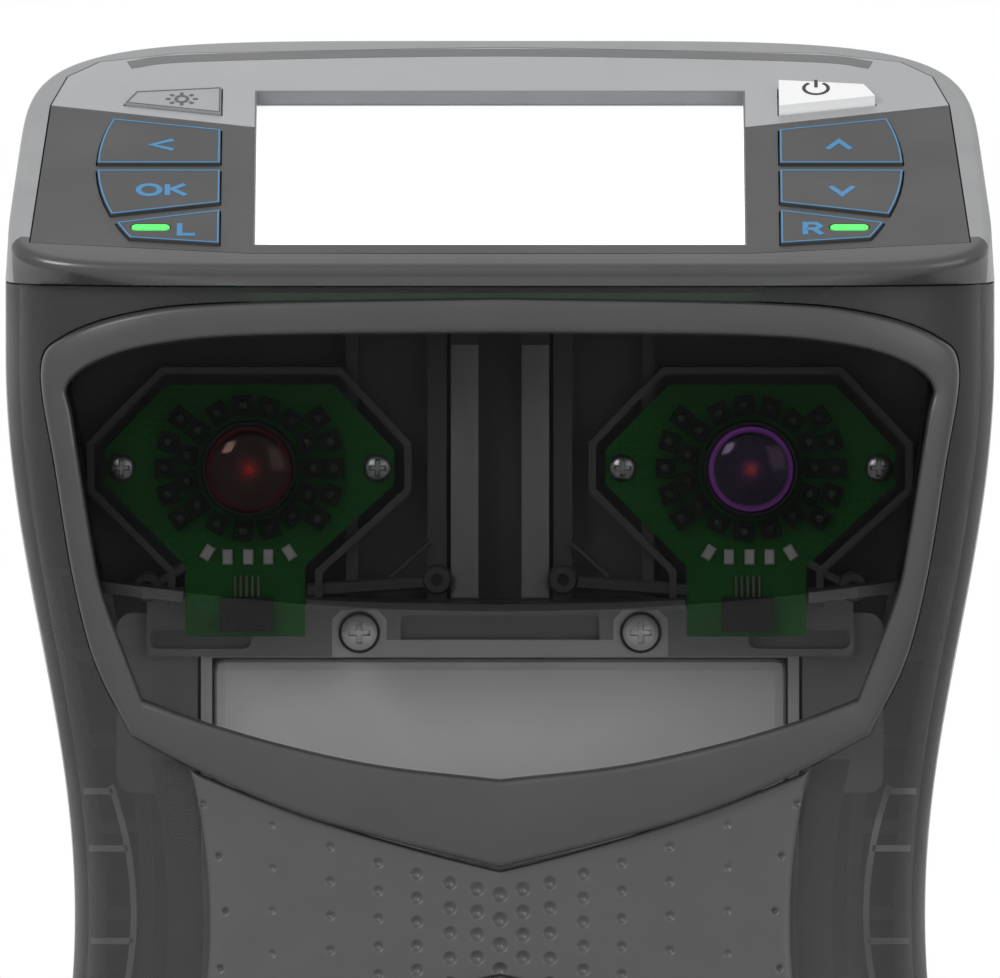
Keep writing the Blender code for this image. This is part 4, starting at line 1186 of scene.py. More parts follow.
@dataclass
class KeyPanel:
    """The key fascia, the silver band, the keys with their printed signs, and the display."""

    housing: TopHousing
    inner: float = 50.3 * MM
    arc_radius: float = 58.8 * MM
    arc_x: float = 13.6 * MM
    arc_u: float = 33.0 * MM
    arc_points: int = 12
    rows_mm: tuple = ((5.0, 17.1, 7.0, 12.6), (19.8, 31.7, 15.5, 31.7), (34.2, 46.5, 34.2, 50.5),
                      (52.6, 62.0, 56.2, 60.5))
    proud: float = 0.5 * MM
    power_proud: float = 2.0 * MM
    line: float = 0.3 * MM
    line_inset: float = 0.25 * MM
    stroke_width: float = 0.62 * MM
    letter_width: float = 1.0 * MM
    print_height: float = 0.06 * MM
    print_root: float = 0.05 * MM
    mitre_limit: float = 1.2
    fine_signs: tuple = ("power_key", "backlight_key")
    stroke_step: float = 0.004 * MM
    sun_mm: tuple[float, float] = (-57.4, 57.6)
    sun_radii_mm: tuple[float, float] = (1.05, 1.15)
    sun_rays: int = 8
    ray_mm: tuple[float, float] = (2.0, 2.9)
    ray_squash: float = 0.8
    power_mm: tuple[float, float] = (57.0, 58.9)
    power_radius_mm: float = 2.2
    power_arc: tuple[float, float] = (math.radians(125), math.radians(415))
    trim_mm: tuple = ((-67, 71.0), (-58, 73.3), (-30, 74.9), (0, 75.6), (30, 74.9), (58, 73.3), (67, 71.0))
    trim_width: float = 2.7 * MM
    trim_points: int = 90
    window_half: float = 44.2 * MM
    window_u: tuple = (5.0 * MM, 61.6 * MM)
    window_depth: float = 2.6 * MM
    bezel_gap: float = 0.04 * MM
    bezel_width: float = 0.3 * MM
    names: dict = field(default_factory=lambda: {
        Side.LEFT: ("left_hand_key", "ok_key", "back_key", "backlight_key"),
        Side.RIGHT: ("right_hand_key", "down_key", "up_key", "power_key")})

    def outline(self, row: int, side: Side, inset: float) -> Outline:
        """One key's outline: three straight edges and the shared outer arc.

        Args:
            row: The key's row, from the front.
            side: The side that it is on.
            inset: How far the outline is drawn in.

        Returns:
            The outline on the panel.
        """
        low_in, high_in, low_out, high_out = [value * MM for value in self.rows_mm[row]]
        u = np.linspace(low_out, high_out, self.arc_points)
        arc = np.stack([self.arc_x + np.sqrt(self.arc_radius ** 2 - (u - self.arc_u) ** 2), u], axis=1)
        base = np.concatenate([[(self.inner, low_in)], arc, [(self.inner, high_in)]])
        return self.inset(base, inset) * (side.value, 1)

    @staticmethod
    def inset(outline: Outline, distance: float) -> Outline:
        """Draws a closed outline in, each corner along its bisector.

        Args:
            outline: The outline.
            distance: How far each edge moves in.

        Returns:
            The smaller outline.
        """
        before = outline - np.roll(outline, 1, axis=0)
        after = np.roll(outline, -1, axis=0) - outline
        normals = []
        for run in (before, after):
            run = run / np.linalg.norm(run, axis=1, keepdims=True)
            normals.append(np.stack([-run[:, 1], run[:, 0]], axis=1))
        middle = normals[0] + normals[1]
        return outline + middle * (2 * distance / np.sum(middle ** 2, axis=1, keepdims=True))

    def ribbon(self, path: Outline, width: float, closed: bool, height: float) -> Surface:
        """A flat strip of print along a path of the panel: a low box profile carried along it.

        Args:
            path: The strip's middle line.
            width: Its width.
            closed: Whether it ends where it starts.
            height: Height of what it is printed on.

        Returns:
            The strip.
        """
        top, root = height + self.print_height, height - self.print_root
        left, right = [self.side_step(path, step, closed) for step in (width / 2, -width / 2)]
        loops = [self.housing.panel(edge, level)
                 for edge, level in ((left, root), (left, top), (right, top), (right, root))]
        return Surface.grid(np.stack(loops, axis=1), wrap_rows=closed, caps=not closed)

    def side_step(self, path: Outline, distance: float, closed: bool) -> Outline:
        """The path moved sideways, with mitred corners.

        Args:
            path: The path.
            distance: How far it moves to its left.
            closed: Whether it ends where it starts.

        Returns:
            The moved path.
        """
        run = np.diff(path, axis=0, append=path[:1] if closed else path[-1:] * 2 - path[-2:-1])
        run = run / np.linalg.norm(run, axis=1, keepdims=True)
        before = np.roll(run, 1, axis=0)
        if not closed:
            before[0] = run[0]
            run[-1] = before[-1]
        middle = np.stack([-(run + before)[:, 1], (run + before)[:, 0]], axis=1)
        spread = np.maximum(np.sum(middle ** 2, axis=1, keepdims=True), self.mitre_limit)
        return path + middle * (2 * distance / spread)

    @staticmethod
    def ellipse(centre: tuple[float, float], radii: tuple[float, float], start: float = 0, end: float = TAU,
                count: int = 40) -> Outline:
        """Points of an arc of an ellipse, in millimetres.

        Args:
            centre: Its centre.
            radii: Its radius across and up.
            start: The angle that it starts at.
            end: The angle that it ends at.
            count: How many points.

        Returns:
            The points.
        """
        turn = np.linspace(start, end, count, endpoint=abs(end - start) < TAU - TINY)
        return np.stack([centre[0] + radii[0] * np.cos(turn), centre[1] + radii[1] * np.sin(turn)], axis=1)

    @staticmethod
    def strokes(*runs: tuple) -> list[tuple[Outline, bool]]:
        """Open strokes through the points of each run."""
        return [(np.array(run, float), False) for run in runs]

    def signs(self) -> dict[str, list[tuple[Outline, bool]]]:
        """The strokes of each key's sign in millimetres on the panel, with whether each is closed.

        Returns:
            The strokes by key.
        """
        middle = np.array(self.sun_mm)
        sun = [(self.ellipse(self.sun_mm, self.sun_radii_mm), True)]
        for turn in np.arange(self.sun_rays) * TAU / self.sun_rays:
            ray = np.array([math.cos(turn), math.sin(turn) * self.ray_squash])
            sun += self.strokes([middle + ray * reach for reach in self.ray_mm])
        power = [(self.ellipse(self.power_mm, (self.power_radius_mm,) * 2, *self.power_arc), False)]
        return {
            "backlight_key": sun,
            "power_key": power + self.strokes(((57.0, 59.2), (57.0, 61.9))),
            "back_key": self.strokes(((-58.8, 42.6), (-62.6, 40.8), (-58.8, 39.0))),
            "up_key": self.strokes(((58.9, 39.2), (61.0, 42.2), (63.1, 39.2))),
            "down_key": self.strokes(((59.3, 25.6), (61.4, 22.6), (63.5, 25.6))),
            "ok_key": [(self.ellipse((-63.0, 24.3), (1.9, 1.85)), True)]
            + self.strokes(((-59.7, 26.3), (-59.7, 22.3)), ((-56.6, 26.3), (-59.3, 24.3)),
                           ((-58.7, 24.4), (-56.4, 22.3))),
            "left_hand_key": self.strokes(((-57.4, 12.1), (-57.4, 8.1), (-54.6, 8.1))),
            "right_hand_key": self.strokes(((54.7, 8.1), (54.7, 12.1), (56.6, 12.1), (57.4, 11.1),
                                            (56.6, 10.1), (54.9, 10.1)), ((56.2, 10.1), (57.7, 8.1))),
        }

    def bezel(self) -> Surface:
        """The thin liner of the display's opening: a flat profile carried round the window's four corners.

        Returns:
            The liner.
        """
        low, high = self.window_u
        corners = np.array([(-1, low), (1, low), (1, high), (-1, high)])
        inward = np.array([(0, 1), (0, 1), (0, -1), (0, -1)])
        rings = []
        for inset, height in ((self.bezel_gap, 0.0), (self.bezel_width, 0.0),
                              (self.bezel_width, -self.window_depth), (self.bezel_gap, -self.window_depth)):
            ring = corners * (self.window_half - inset, 1) + inward * inset
            rings.append(self.housing.panel(ring, height))
        return Surface.grid(np.stack(rings), wrap_rows=True)

    def print_key(self, name: str, row: int, side: Side, strokes: list[tuple[Outline, bool]]) -> None:
        """Prints a key's sign and its outline, and dresses the key.

        Args:
            name: The key's node, which is its body too.
            row: Its row, from the front.
            side: The side that it is on.
            strokes: The strokes of its sign.
        """
        height = self.power_proud if name == "power_key" else self.proud
        width = self.stroke_width if name in self.fine_signs else self.letter_width
        marks = [self.ribbon(stroke * MM, width, closed, height + count * self.stroke_step)
                 for count, (stroke, closed) in enumerate(strokes)]
        if name != "power_key":
            marks.append(self.ribbon(self.outline(row, side, self.line_inset), self.line, True, height))
        ink = {"power_key": PRINT_BLACK, "backlight_key": PRINT_GREY}.get(name, KEY_BLUE)
        Surface.merge(marks).piece(f"{name}_print", ink, body=name)
        finish_node(name, {"power_key": POWER_WHITE, "backlight_key": SILVER_KEY}.get(name, KEY_CAP))

    def build(self) -> None:
        """Prints the key outlines and signs, lays the band's trim, and dresses the panel's CAD nodes."""
        signs = self.signs()
        self.bezel().piece("display_bezel", BEZEL)
        trim = half_curve(self.trim_mm, self.trim_points)
        self.ribbon(trim, self.trim_width, False, 0.0).piece("band_trim", TRIM)
        for side, names in self.names.items():
            for row, name in enumerate(names):
                self.print_key(name, row, side, signs[name])
        for node, finish in (("key_fascia", FASCIA), ("silver_band", SILVER), ("display_frame", FRAME_GREY),
                             ("display_glass", COVER_GLASS), ("display_module", SCREEN),
                             ("left_key_light", GREEN_LIGHT), ("right_key_light", GREEN_LIGHT),
                             ("keypad_board", BOARD), ("main_board", BOARD)):
            finish_node(node, finish)


@dataclass
class Camera:
    """One camera: its board's LEDs, chips, connector and screws, the lens barrel and the coated lens.

    Heights are measured forward from the board's face, and a table in millimetres has mm in its name.
    """

    casing: Casing
    bay: Bay
    side: Side
    x: float = 45.0 * MM
    z: float = 243.0 * MM
    face: float = 27.6 * MM
    led_half: float = 1.75 * MM
    led_height: float = 1.55 * MM
    led_cap_mm: tuple = ((1.0, -1.5), (1.0, 0.0), (0.9, 0.12), (0.66, 0.12))
    led_dome_mm: tuple = ((1.12, 0.1), (1.0, 0.4), (0.7, 0.68), (0.3, 0.82))
    led_steps: int = 14
    inner_leds: int = 15
    inner_radius: float = 11.4 * MM
    outer_leds: int = 5
    outer_radius: float = 15.3 * MM
    outer_step: float = math.radians(18)
    chips_mm: tuple = ((-7.5, -15.2, -32), (-3.9, -16.0, 0), (-0.2, -16.0, 0), (3.4, -16.0, 0),
                       (7.2, -15.2, 32))
    chip_mm: tuple = (1.8, 2.7, 1.0)
    connector_mm: tuple = (9.4, 6.2, 3.3)
    connector_place_mm: tuple = (-0.5, -26.3)
    pins_mm: tuple = ((-2.6, -21.3), (-1.55, -21.3), (-0.5, -21.3), (0.55, -21.3), (1.6, -21.3))
    pin_mm: tuple = (0.45, 3.8, 0.7)
    block_chamfer: float = 0.25 * MM
    screw_x: float = 23.0 * MM
    screw_radius: float = 2.5 * MM
    screw_height: float = 1.7 * MM
    barrel_radius: float = 8.8 * MM
    barrel_height: float = 7.0 * MM
    grooves_mm: tuple = (1.2, 2.8, 4.4)
    groove_mm: tuple = ((0.0, 0.0), (0.25, 0.2), (0.25, 0.6), (0.0, 0.8))
    mouth_chamfer: float = 0.4 * MM
    bore: float = 8.0 * MM
    bore_floor: float = 2.0 * MM
    dome_rise: float = 3.0 * MM
    dome_drop: float = 1.1 * MM
    dome_edge: float = 0.9 * MM
    dome_tilt: float = 1.54
    dome_steps: int = 22
    dome_alpha: float = 0.8
    dome_ior: float = 1.5
    funnel_floor: float = 2.3 * MM
    funnel_drop: float = 1.0 * MM
    funnel_steps: int = 4
    funnel_ledge: float = 0.25 * MM
    funnel_fall: float = 0.18
    element_radius: float = 5.2 * MM
    element_gap: float = 0.1 * MM
    element_edge: float = 0.4 * MM
    element_rise: float = 1.9 * MM
    element_alpha: float = 1.0
    element_ior: float = 2.0
    round_steps: int = 72
    tints: dict = field(default_factory=lambda: {Side.LEFT: "#ffc8c0", Side.RIGHT: "#ecd0ff"})
    # Dome colours by share of the radius: a painted red glint in the middle, dark glass, and a painted
    # coating reflection at the rim
    dome_painted_reflection: dict = field(default_factory=lambda: {
        Side.LEFT: ((0.0, "#b8161a"), (0.22, "#4a0a0d"), (0.4, "#060304"), (0.86, "#060304"),
                    (0.97, "#641c1f")),
        Side.RIGHT: ((0.0, "#b8402e"), (0.22, "#3c1446"), (0.4, "#060408"), (0.84, "#0a050e"),
                     (0.96, "#b058d2"))})
    # Element colours by share of the radius: painted coating reflections in red and violet rings
    element_painted_reflection: dict = field(default_factory=lambda: {
        Side.LEFT: ((0.0, "#c81e24"), (0.3, "#8c1218"), (0.55, "#4b0c10"), (0.78, "#a81c24"),
                    (0.95, "#320809")),
        Side.RIGHT: ((0.0, "#d0504a"), (0.3, "#7a2c8a"), (0.55, "#3d1a4b"), (0.78, "#8a3aa8"),
                     (0.95, "#291132"))})

    @property
    def name(self) -> str:
        """The start of this camera's node names."""
        return f"{self.bay.value}_{self.side.word}"

    def place(self, points: np.ndarray) -> np.ndarray:
        """Moves points from the camera's own frame, with its axis forward along +Z, into the part."""
        moved = forward(points, self.face, (self.side.value * self.x, self.z))
        return half_turn(moved, self.bay, self.casing.waist)

    def solid(self, rings: np.ndarray) -> Surface:
        """Closes rings of the camera's own frame into a surface of the part."""
        return Surface.grid(self.place(rings), caps=True)

    def turned(self, profile: list[tuple[float, float]]) -> Surface:
        """A profile of radius and height turned round the camera's axis, closed by its end rings."""
        return self.solid(turned_rings(np.array(profile), self.round_steps))

    def dome(self, edge: float, base: float, rise: float) -> list[tuple[float, float]]:
        """The profile of a domed lens: a quarter of an ellipse that stops just short of the axis.

        Args:
            edge: Its radius.
            base: Height at its edge.
            rise: Height of its crown above that.

        Returns:
            Radius and height of each point.
        """
        tilt = np.linspace(0, self.dome_tilt, self.dome_steps)
        return list(zip(edge * np.cos(tilt), base + rise * np.sin(tilt)))

    def led_places(self) -> np.ndarray:
        """Angle and radius of every LED: a full inner ring and two outer arcs.

        Returns:
            One row for each LED.
        """
        inner = np.arange(self.inner_leds) * TAU / self.inner_leds
        steps = (np.arange(self.outer_leds) - self.outer_leds // 2) * self.outer_step
        outer = np.concatenate([steps, steps + math.pi])
        radii = np.repeat([self.inner_radius, self.outer_radius], [len(inner), len(outer)])
        return np.stack([np.concatenate([inner, outer]), radii], axis=1)

    def led_parts(self) -> tuple[Surface, Surface]:
        """The LED packages, square caps over the board's blocks, and the round lens on each.

        Returns:
            The packages and the lenses.
        """
        corner = np.array([(-1, -1), (1, -1), (1, 1), (-1, 1)]) * self.led_half
        dome = np.array(self.led_dome_mm) * MM + (0, self.led_height)
        packages, lenses = [], []
        for angle, radius in self.led_places():
            cosine, sine = math.cos(angle), math.sin(angle)
            centre = np.array([radius * cosine, radius * sine])
            spun = corner @ np.array([[cosine, sine], [-sine, cosine]])
            rings = [raised(centre + spun * share, self.led_height + rise * MM)
                     for share, rise in self.led_cap_mm]
            packages.append(self.solid(np.stack(rings)))
            lenses.append(self.solid(turned_rings(dome, self.led_steps, centre)))
        return Surface.merge(packages), Surface.merge(lenses)

    def block(self, centre_mm: tuple[float, float], size_mm: tuple[float, float, float],
              turn: float = 0.0) -> Surface:
        """A chamfered block on the board, turned about its own axis.

        Args:
            centre_mm: Its place on the board.
            size_mm: Its width, length and height.
            turn: Its turn in degrees.

        Returns:
            The block.
        """
        size = np.array(size_mm[:2]) * MM
        high = size_mm[2] * MM
        corner = np.array([(-0.5, -0.5), (0.5, -0.5), (0.5, 0.5), (-0.5, 0.5)]) * size
        cosine, sine = math.cos(math.radians(turn)), math.sin(math.radians(turn))
        spin = np.array([[cosine, sine], [-sine, cosine]])
        rings = []
        for inset, height in ((0, 0), (0, high - self.block_chamfer), (self.block_chamfer, high)):
            flat = corner * (1 - 2 * inset / size) @ spin + np.array(centre_mm) * MM
            rings.append(raised(flat, height))
        return self.solid(np.stack(rings))

    def build(self) -> None:
        """Makes everything on this camera's board."""
        finish_node(f"{self.name}_camera_board", BOARD)
        packages, lenses = self.led_parts()
        packages.piece(f"{self.name}_led_packages", LED_BODY)
        lenses.piece(f"{self.name}_led_lenses", LED_LENS, smooth=60)
        chips = [self.block((x, z), self.chip_mm, turn) for x, z, turn in self.chips_mm]
        Surface.merge(chips).piece(f"{self.name}_chips", SOLDER_PALE)
        connector = self.block(self.connector_place_mm, self.connector_mm)
        connector.piece(f"{self.name}_connector", CONNECTOR_BLACK)
        pins = [self.block(place, self.pin_mm) for place in self.pins_mm]
        Surface.merge(pins).piece(f"{self.name}_connector_pins", PIN_METAL)
        head = PanHead(self.screw_radius, self.screw_height).rings()
        screws = [self.solid(head + (side * self.screw_x, 0, 0)) for side in (-1, 1)]
        Surface.merge(screws).piece(f"{self.name}_board_screws", SCREW_STEEL, smooth=35)
        self.lens()

    def lens(self) -> None:
        """Makes the barrel, with a stepped mouth and fine rings, and the domed lens."""
        low, high = CLEAR, self.barrel_height + CLEAR
        barrel = [(self.barrel_radius, low)]
        for groove in self.grooves_mm:
            barrel += [(self.barrel_radius - depth * MM, low + (groove + rise) * MM)
                       for depth, rise in self.groove_mm]
        barrel += [(self.barrel_radius, high - self.mouth_chamfer),
                   (self.barrel_radius - self.mouth_chamfer, high),
                   (self.bore, high), (self.bore, low + self.bore_floor)]
        node = f"{self.name}_lens_barrel"
        self.turned(barrel).piece(f"{node}_turned", BARREL, (node,))
        edge, rest = self.bore - CLEAR, high - self.dome_drop
        dome = [(edge, rest - self.dome_edge), *self.dome(edge, rest, self.dome_rise)]
        node = f"{self.name}_lens_glass"
        glass = self.coating("dome", self.dome_painted_reflection, edge, self.dome_alpha, self.dome_ior)
        self.turned(dome).piece(f"{node}_dome", glass, (node,), smooth=60)
        self.inner_lens(low + self.funnel_floor, rest - self.funnel_drop, edge)

    def coating(self, part: str, rings: dict, radius: float, alpha: float, ior: float) -> CoatedGlassPaintedReflection:
        """A coated glass centred on this camera's axis, whose rings of colour are a painted glint and painted
        reflections.

        Args:
            part: What the glass is, for the material's name.
            rings: The rings of painted glint and painted reflection by side.
            radius: The radius that the rings are shares of.
            alpha: How much of what is behind the glass it hides.
            ior: Its index of refraction.

        Returns:
            The finish.
        """
        centre = tuple(float(value) for value in self.place(np.zeros(3)))
        return CoatedGlassPaintedReflection(f"{self.name}_coated_{part}", "#000000", 0.03, alpha=alpha, ior=ior,
                           grain_depth_mm=0.0, gloss_spread=0.01, slot="lens_glass",
                           rings=rings[self.side], tint=self.tints[self.side], centre=centre, radius=radius)

    def inner_lens(self, floor: float, top: float, edge: float) -> None:
        """Makes the stepped funnel inside the barrel and the coated element at its bottom.

        Args:
            floor: Height of the funnel's foot.
            top: Height of its mouth.
            edge: Radius of its mouth.
        """
        inside = []
        for share in np.arange(self.funnel_steps) / self.funnel_steps:
            radius = edge - self.funnel_ledge - (edge - self.element_radius) * share
            inside += [(radius, top - (top - floor) * share),
                       (radius - self.funnel_ledge, top - (top - floor) * (share + self.funnel_fall))]
        funnel = [(edge, floor), (edge, top), *inside, (self.element_radius, floor)]
        self.turned(funnel).piece(f"{self.name}_lens_funnel", BARREL)
        reach = self.element_radius - self.element_gap
        dome = [(reach, floor), *self.dome(reach, floor + self.element_edge, self.element_rise)]
        glass = self.coating("element", self.element_painted_reflection, reach, self.element_alpha, self.element_ior)
        self.turned(dome).piece(f"{self.name}_lens_element", glass, smooth=60)


@dataclass
class ChassisFront:
    """The pale bands, bars and bosses on the front of a bay's chassis, and dark walls beside the battery that
    are painted shade.
    """

    casing: Casing
    face: float = 25.05 * MM
    band_mm: tuple = (3.9, 8.8, 219.6, 265.0)
    band_height: float = 0.5 * MM
    boss_mm: tuple = ((11.3, 222.9), (63.4, 221.6))
    boss_radius: float = 2.7 * MM
    boss_hole: float = 1.1 * MM
    boss_taper: float = 0.9
    boss_height: float = 2.2 * MM
    boss_chamfer: float = 0.4 * MM
    boss_floor: float = 0.3 * MM
    boss_steps: int = 36
    bars_mm: tuple = (((34.7, 220.9), (13.6, 222.4), 2.4), ((19.6, 223.4), (12.6, 229.6), 0.9),
                      ((60.9, 222.6), (54.5, 226.4), 1.8))
    bar_height: float = 1.6 * MM
    bar_chamfer: float = 0.3 * MM
    bar_shoulder: float = 0.7
    wall_inner: float = 53.2 * MM
    wall_outer: float = 59.5 * MM
    wall_bows: tuple[float, float] = (3.5, 4.0)
    wall_reach: float = 29.0 * MM
    wall_depth: float = 3.4 * MM
    wall_thick: float = 0.6 * MM
    wall_rows: int = 60
    wall_columns: int = 8
    rail_gap: float = 0.5 * MM
    rail_inset: float = 7.6 * MM
    rail_bow: float = 2.6 * MM
    rail_reach: float = 23.0 * MM
    rail_points: int = 80
    rib_width: float = 1.1 * MM
    rib_face: float = -8.0 * MM
    rungs_mm: tuple = (22.0, 11.7, -5.0, -22.0)
    rung_points: int = 6

    def bar(self, ends_mm: tuple, width_mm: float, side: Side, height: float) -> Surface:
        """A straight bar in the front view: a low box with chamfered long edges.

        Args:
            ends_mm: Its two ends.
            width_mm: Its width.
            side: The side that it is on.
            height: How far it stands out.

        Returns:
            The bar.
        """
        ends = np.array(ends_mm) * MM * (side.value, 1)
        run = ends[1] - ends[0]
        across = np.array([-run[1], run[0]]) / np.linalg.norm(run) * width_mm * MM / 2
        shares = (1.0, 1.0, self.bar_shoulder, -self.bar_shoulder, -1.0, -1.0)
        low = height - self.bar_chamfer
        rises = (0.0, low, height, height, low, 0.0)
        rows = [[(*(point + across * share), rise) for share, rise in zip(shares, rises)] for point in ends]
        return Surface.grid(forward(np.array(rows), self.face), caps=True)

    def boss(self, centre_mm: tuple[float, float], side: Side) -> Surface:
        """A round boss with a blind hole: one profile turned about the boss's axis.

        Args:
            centre_mm: Its place in the front view, on the right.
            side: The side that it is on.

        Returns:
            The boss.
        """
        profile = np.array([(self.boss_radius, 0.0), (self.boss_radius, self.boss_height - self.boss_chamfer),
                            (self.boss_radius - self.boss_chamfer, self.boss_height),
                            (self.boss_hole, self.boss_height),
                            (self.boss_hole * self.boss_taper, self.boss_floor)])
        centre = np.array(centre_mm) * MM * (side.value, 1)
        return Surface.grid(forward(turned_rings(profile, self.boss_steps, centre), self.face), caps=True)

    def shade_wall(self, side: Side) -> Surface:
        """The dark wall beside the battery, painted shade of the gap there: a curved strip with some
        thickness, just inside the front shell.

        Each edge bows outwards with the square of the height above the waist.

        Args:
            side: The side that it is on.

        Returns:
            The wall.
        """
        rise = np.linspace(-1, 1, self.wall_rows)[:, None] * self.wall_reach
        share = np.linspace(0, 1, self.wall_columns)[None, :]
        inner = self.wall_inner + self.wall_bows[0] * rise ** 2
        outer = self.wall_outer + self.wall_bows[1] * rise ** 2
        x = side.value * (inner + (outer - inner) * share)
        flat = np.stack([x, np.broadcast_to(rise + self.casing.waist, x.shape)], axis=-1)
        front = self.casing.front(flat, -self.wall_depth)
        back = self.casing.front(flat, -self.wall_depth - self.wall_thick)
        return Surface.grid(np.concatenate([front, back[:, ::-1]], axis=1), caps=True)

    def build(self, bay: Bay) -> None:
        """Makes the bands and braces of a bay.

        Args:
            bay: Which bay.
        """
        low_x, high_x, low_z, high_z = self.band_mm
        centre = (low_x + high_x) / 2
        bands, braces = [], []
        for side in Side:
            ends = ((centre, low_z), (centre, high_z))
            bands.append(self.bar(ends, high_x - low_x, side, self.band_height))
            braces += [self.bar(ends, width, side, self.bar_height) for *ends, width in self.bars_mm]
            braces += [self.boss(place, side) for place in self.boss_mm]
        for name, parts, finish in (("chassis_bands", bands, BAND_GREY), ("chassis_braces", braces, CHASSIS)):
            Surface.merge(parts).in_bay(bay, self.casing.waist).piece(f"{bay.value}_{name}", finish)

    def rib(self, path: Outline, side: Side) -> Surface:
        """A thin rib just inside the front shell: a low box profile carried along a path of the front view.

        Args:
            path: The rib's middle line, on the right.
            side: The side that it is on.

        Returns:
            The rib.
        """
        along = np.gradient(path, axis=0)
        across = np.stack([-along[:, 1], along[:, 0]], axis=1) / np.linalg.norm(along, axis=1, keepdims=True)
        rows = []
        for step, depth in ((1, 0.0), (-1, 0.0), (-1, self.rib_width), (1, self.rib_width)):
            flat = (path + across * step * self.rib_width / 2) * (side.value, 1)
            points = self.casing.front(flat, -self.wall_depth)
            points[:, 1] = self.rib_face + depth
            rows.append(points)
        return Surface.grid(np.stack(rows, axis=1), caps=True)

    def ladder(self, side: Side) -> list[Surface]:
        """The thin rail beside the outer wall, and the rungs from it to the wall.

        Args:
            side: The side that they are on.

        Returns:
            The rail and the rungs.
        """
        rise = np.linspace(-self.rail_reach, self.rail_reach, self.rail_points)
        level = rise + self.casing.waist
        wall = self.casing.half_width(level) - self.casing.wall - self.rail_gap
        bow = self.rail_bow * (rise / self.rail_reach) ** 2
        rail = np.stack([wall - self.rail_inset + bow, level], axis=1)
        parts = [self.rib(rail, side)]
        for place in np.array(self.rungs_mm) * MM:
            ends = np.interp(place, rise, rail[:, 0]), np.interp(place, rise, wall)
            rung = np.stack([np.linspace(*ends, self.rung_points),
                             np.full(self.rung_points, place + self.casing.waist)], axis=1)
            parts.append(self.rib(rung, side))
        return parts

    def build_walls(self) -> None:
        """Makes the two dark walls beside the battery, which are painted shade, and the thin ladders beside
        the outer walls.
        """
        Surface.merge([self.shade_wall(side) for side in Side]).piece("battery_gap_painted_shade", CHASSIS)
        ribs = [rib for side in Side for rib in self.ladder(side)]
        Surface.merge(ribs).piece("side_ladder_ribs", RIB_PALE)


@dataclass
class Base:
    """The base: a wall turned in at the foot, closed below, on rubber feet."""

    casing: Casing
    housing: TopHousing
    bottom: float = 4.0 * MM
    front: float = 49.5 * MM
    rounding: float = 6.0 * MM
    round_steps: int = 7
    floor: float = 3.0 * MM
    top_chamfer: float = 0.6 * MM

    def ring(self, z: float, inset: float) -> np.ndarray:
        """The base's plan at a height, drawn in by an inset.

        Args:
            z: The height.
            inset: How far it is drawn in.

        Returns:
            The ring's points.
        """
        plan = self.housing.plan(self.casing.hip_half - inset, self.front - inset,
                                 self.casing.hip_back - inset, self.casing.powers)
        return raised(plan, z)

    def build(self) -> None:
        """Makes the base and dresses the feet."""
        top, wall = self.casing.waist - self.casing.seam - CLEAR, self.casing.wall
        loops = []
        for turn in np.linspace(0, QUARTER, self.round_steps + 1):
            loops.append(self.ring(self.bottom + self.rounding * (1 - math.cos(turn)),
                                   self.rounding * (1 - math.sin(turn))))
        loops += [self.ring(top - self.top_chamfer, 0), self.ring(top, self.top_chamfer),
                  self.ring(top, wall), self.ring(self.bottom + self.rounding, wall),
                  self.ring(self.bottom + self.floor, self.rounding)]
        skin = Surface.grid(np.stack(loops), caps=True)
        skin.piece("base_housing_skin", DARK_PC, ("base_housing",), smooth=32)
        for place in ("front", "rear"):
            for side in Side:
                finish_node(f"{place}_{side.word}_foot", RUBBER)


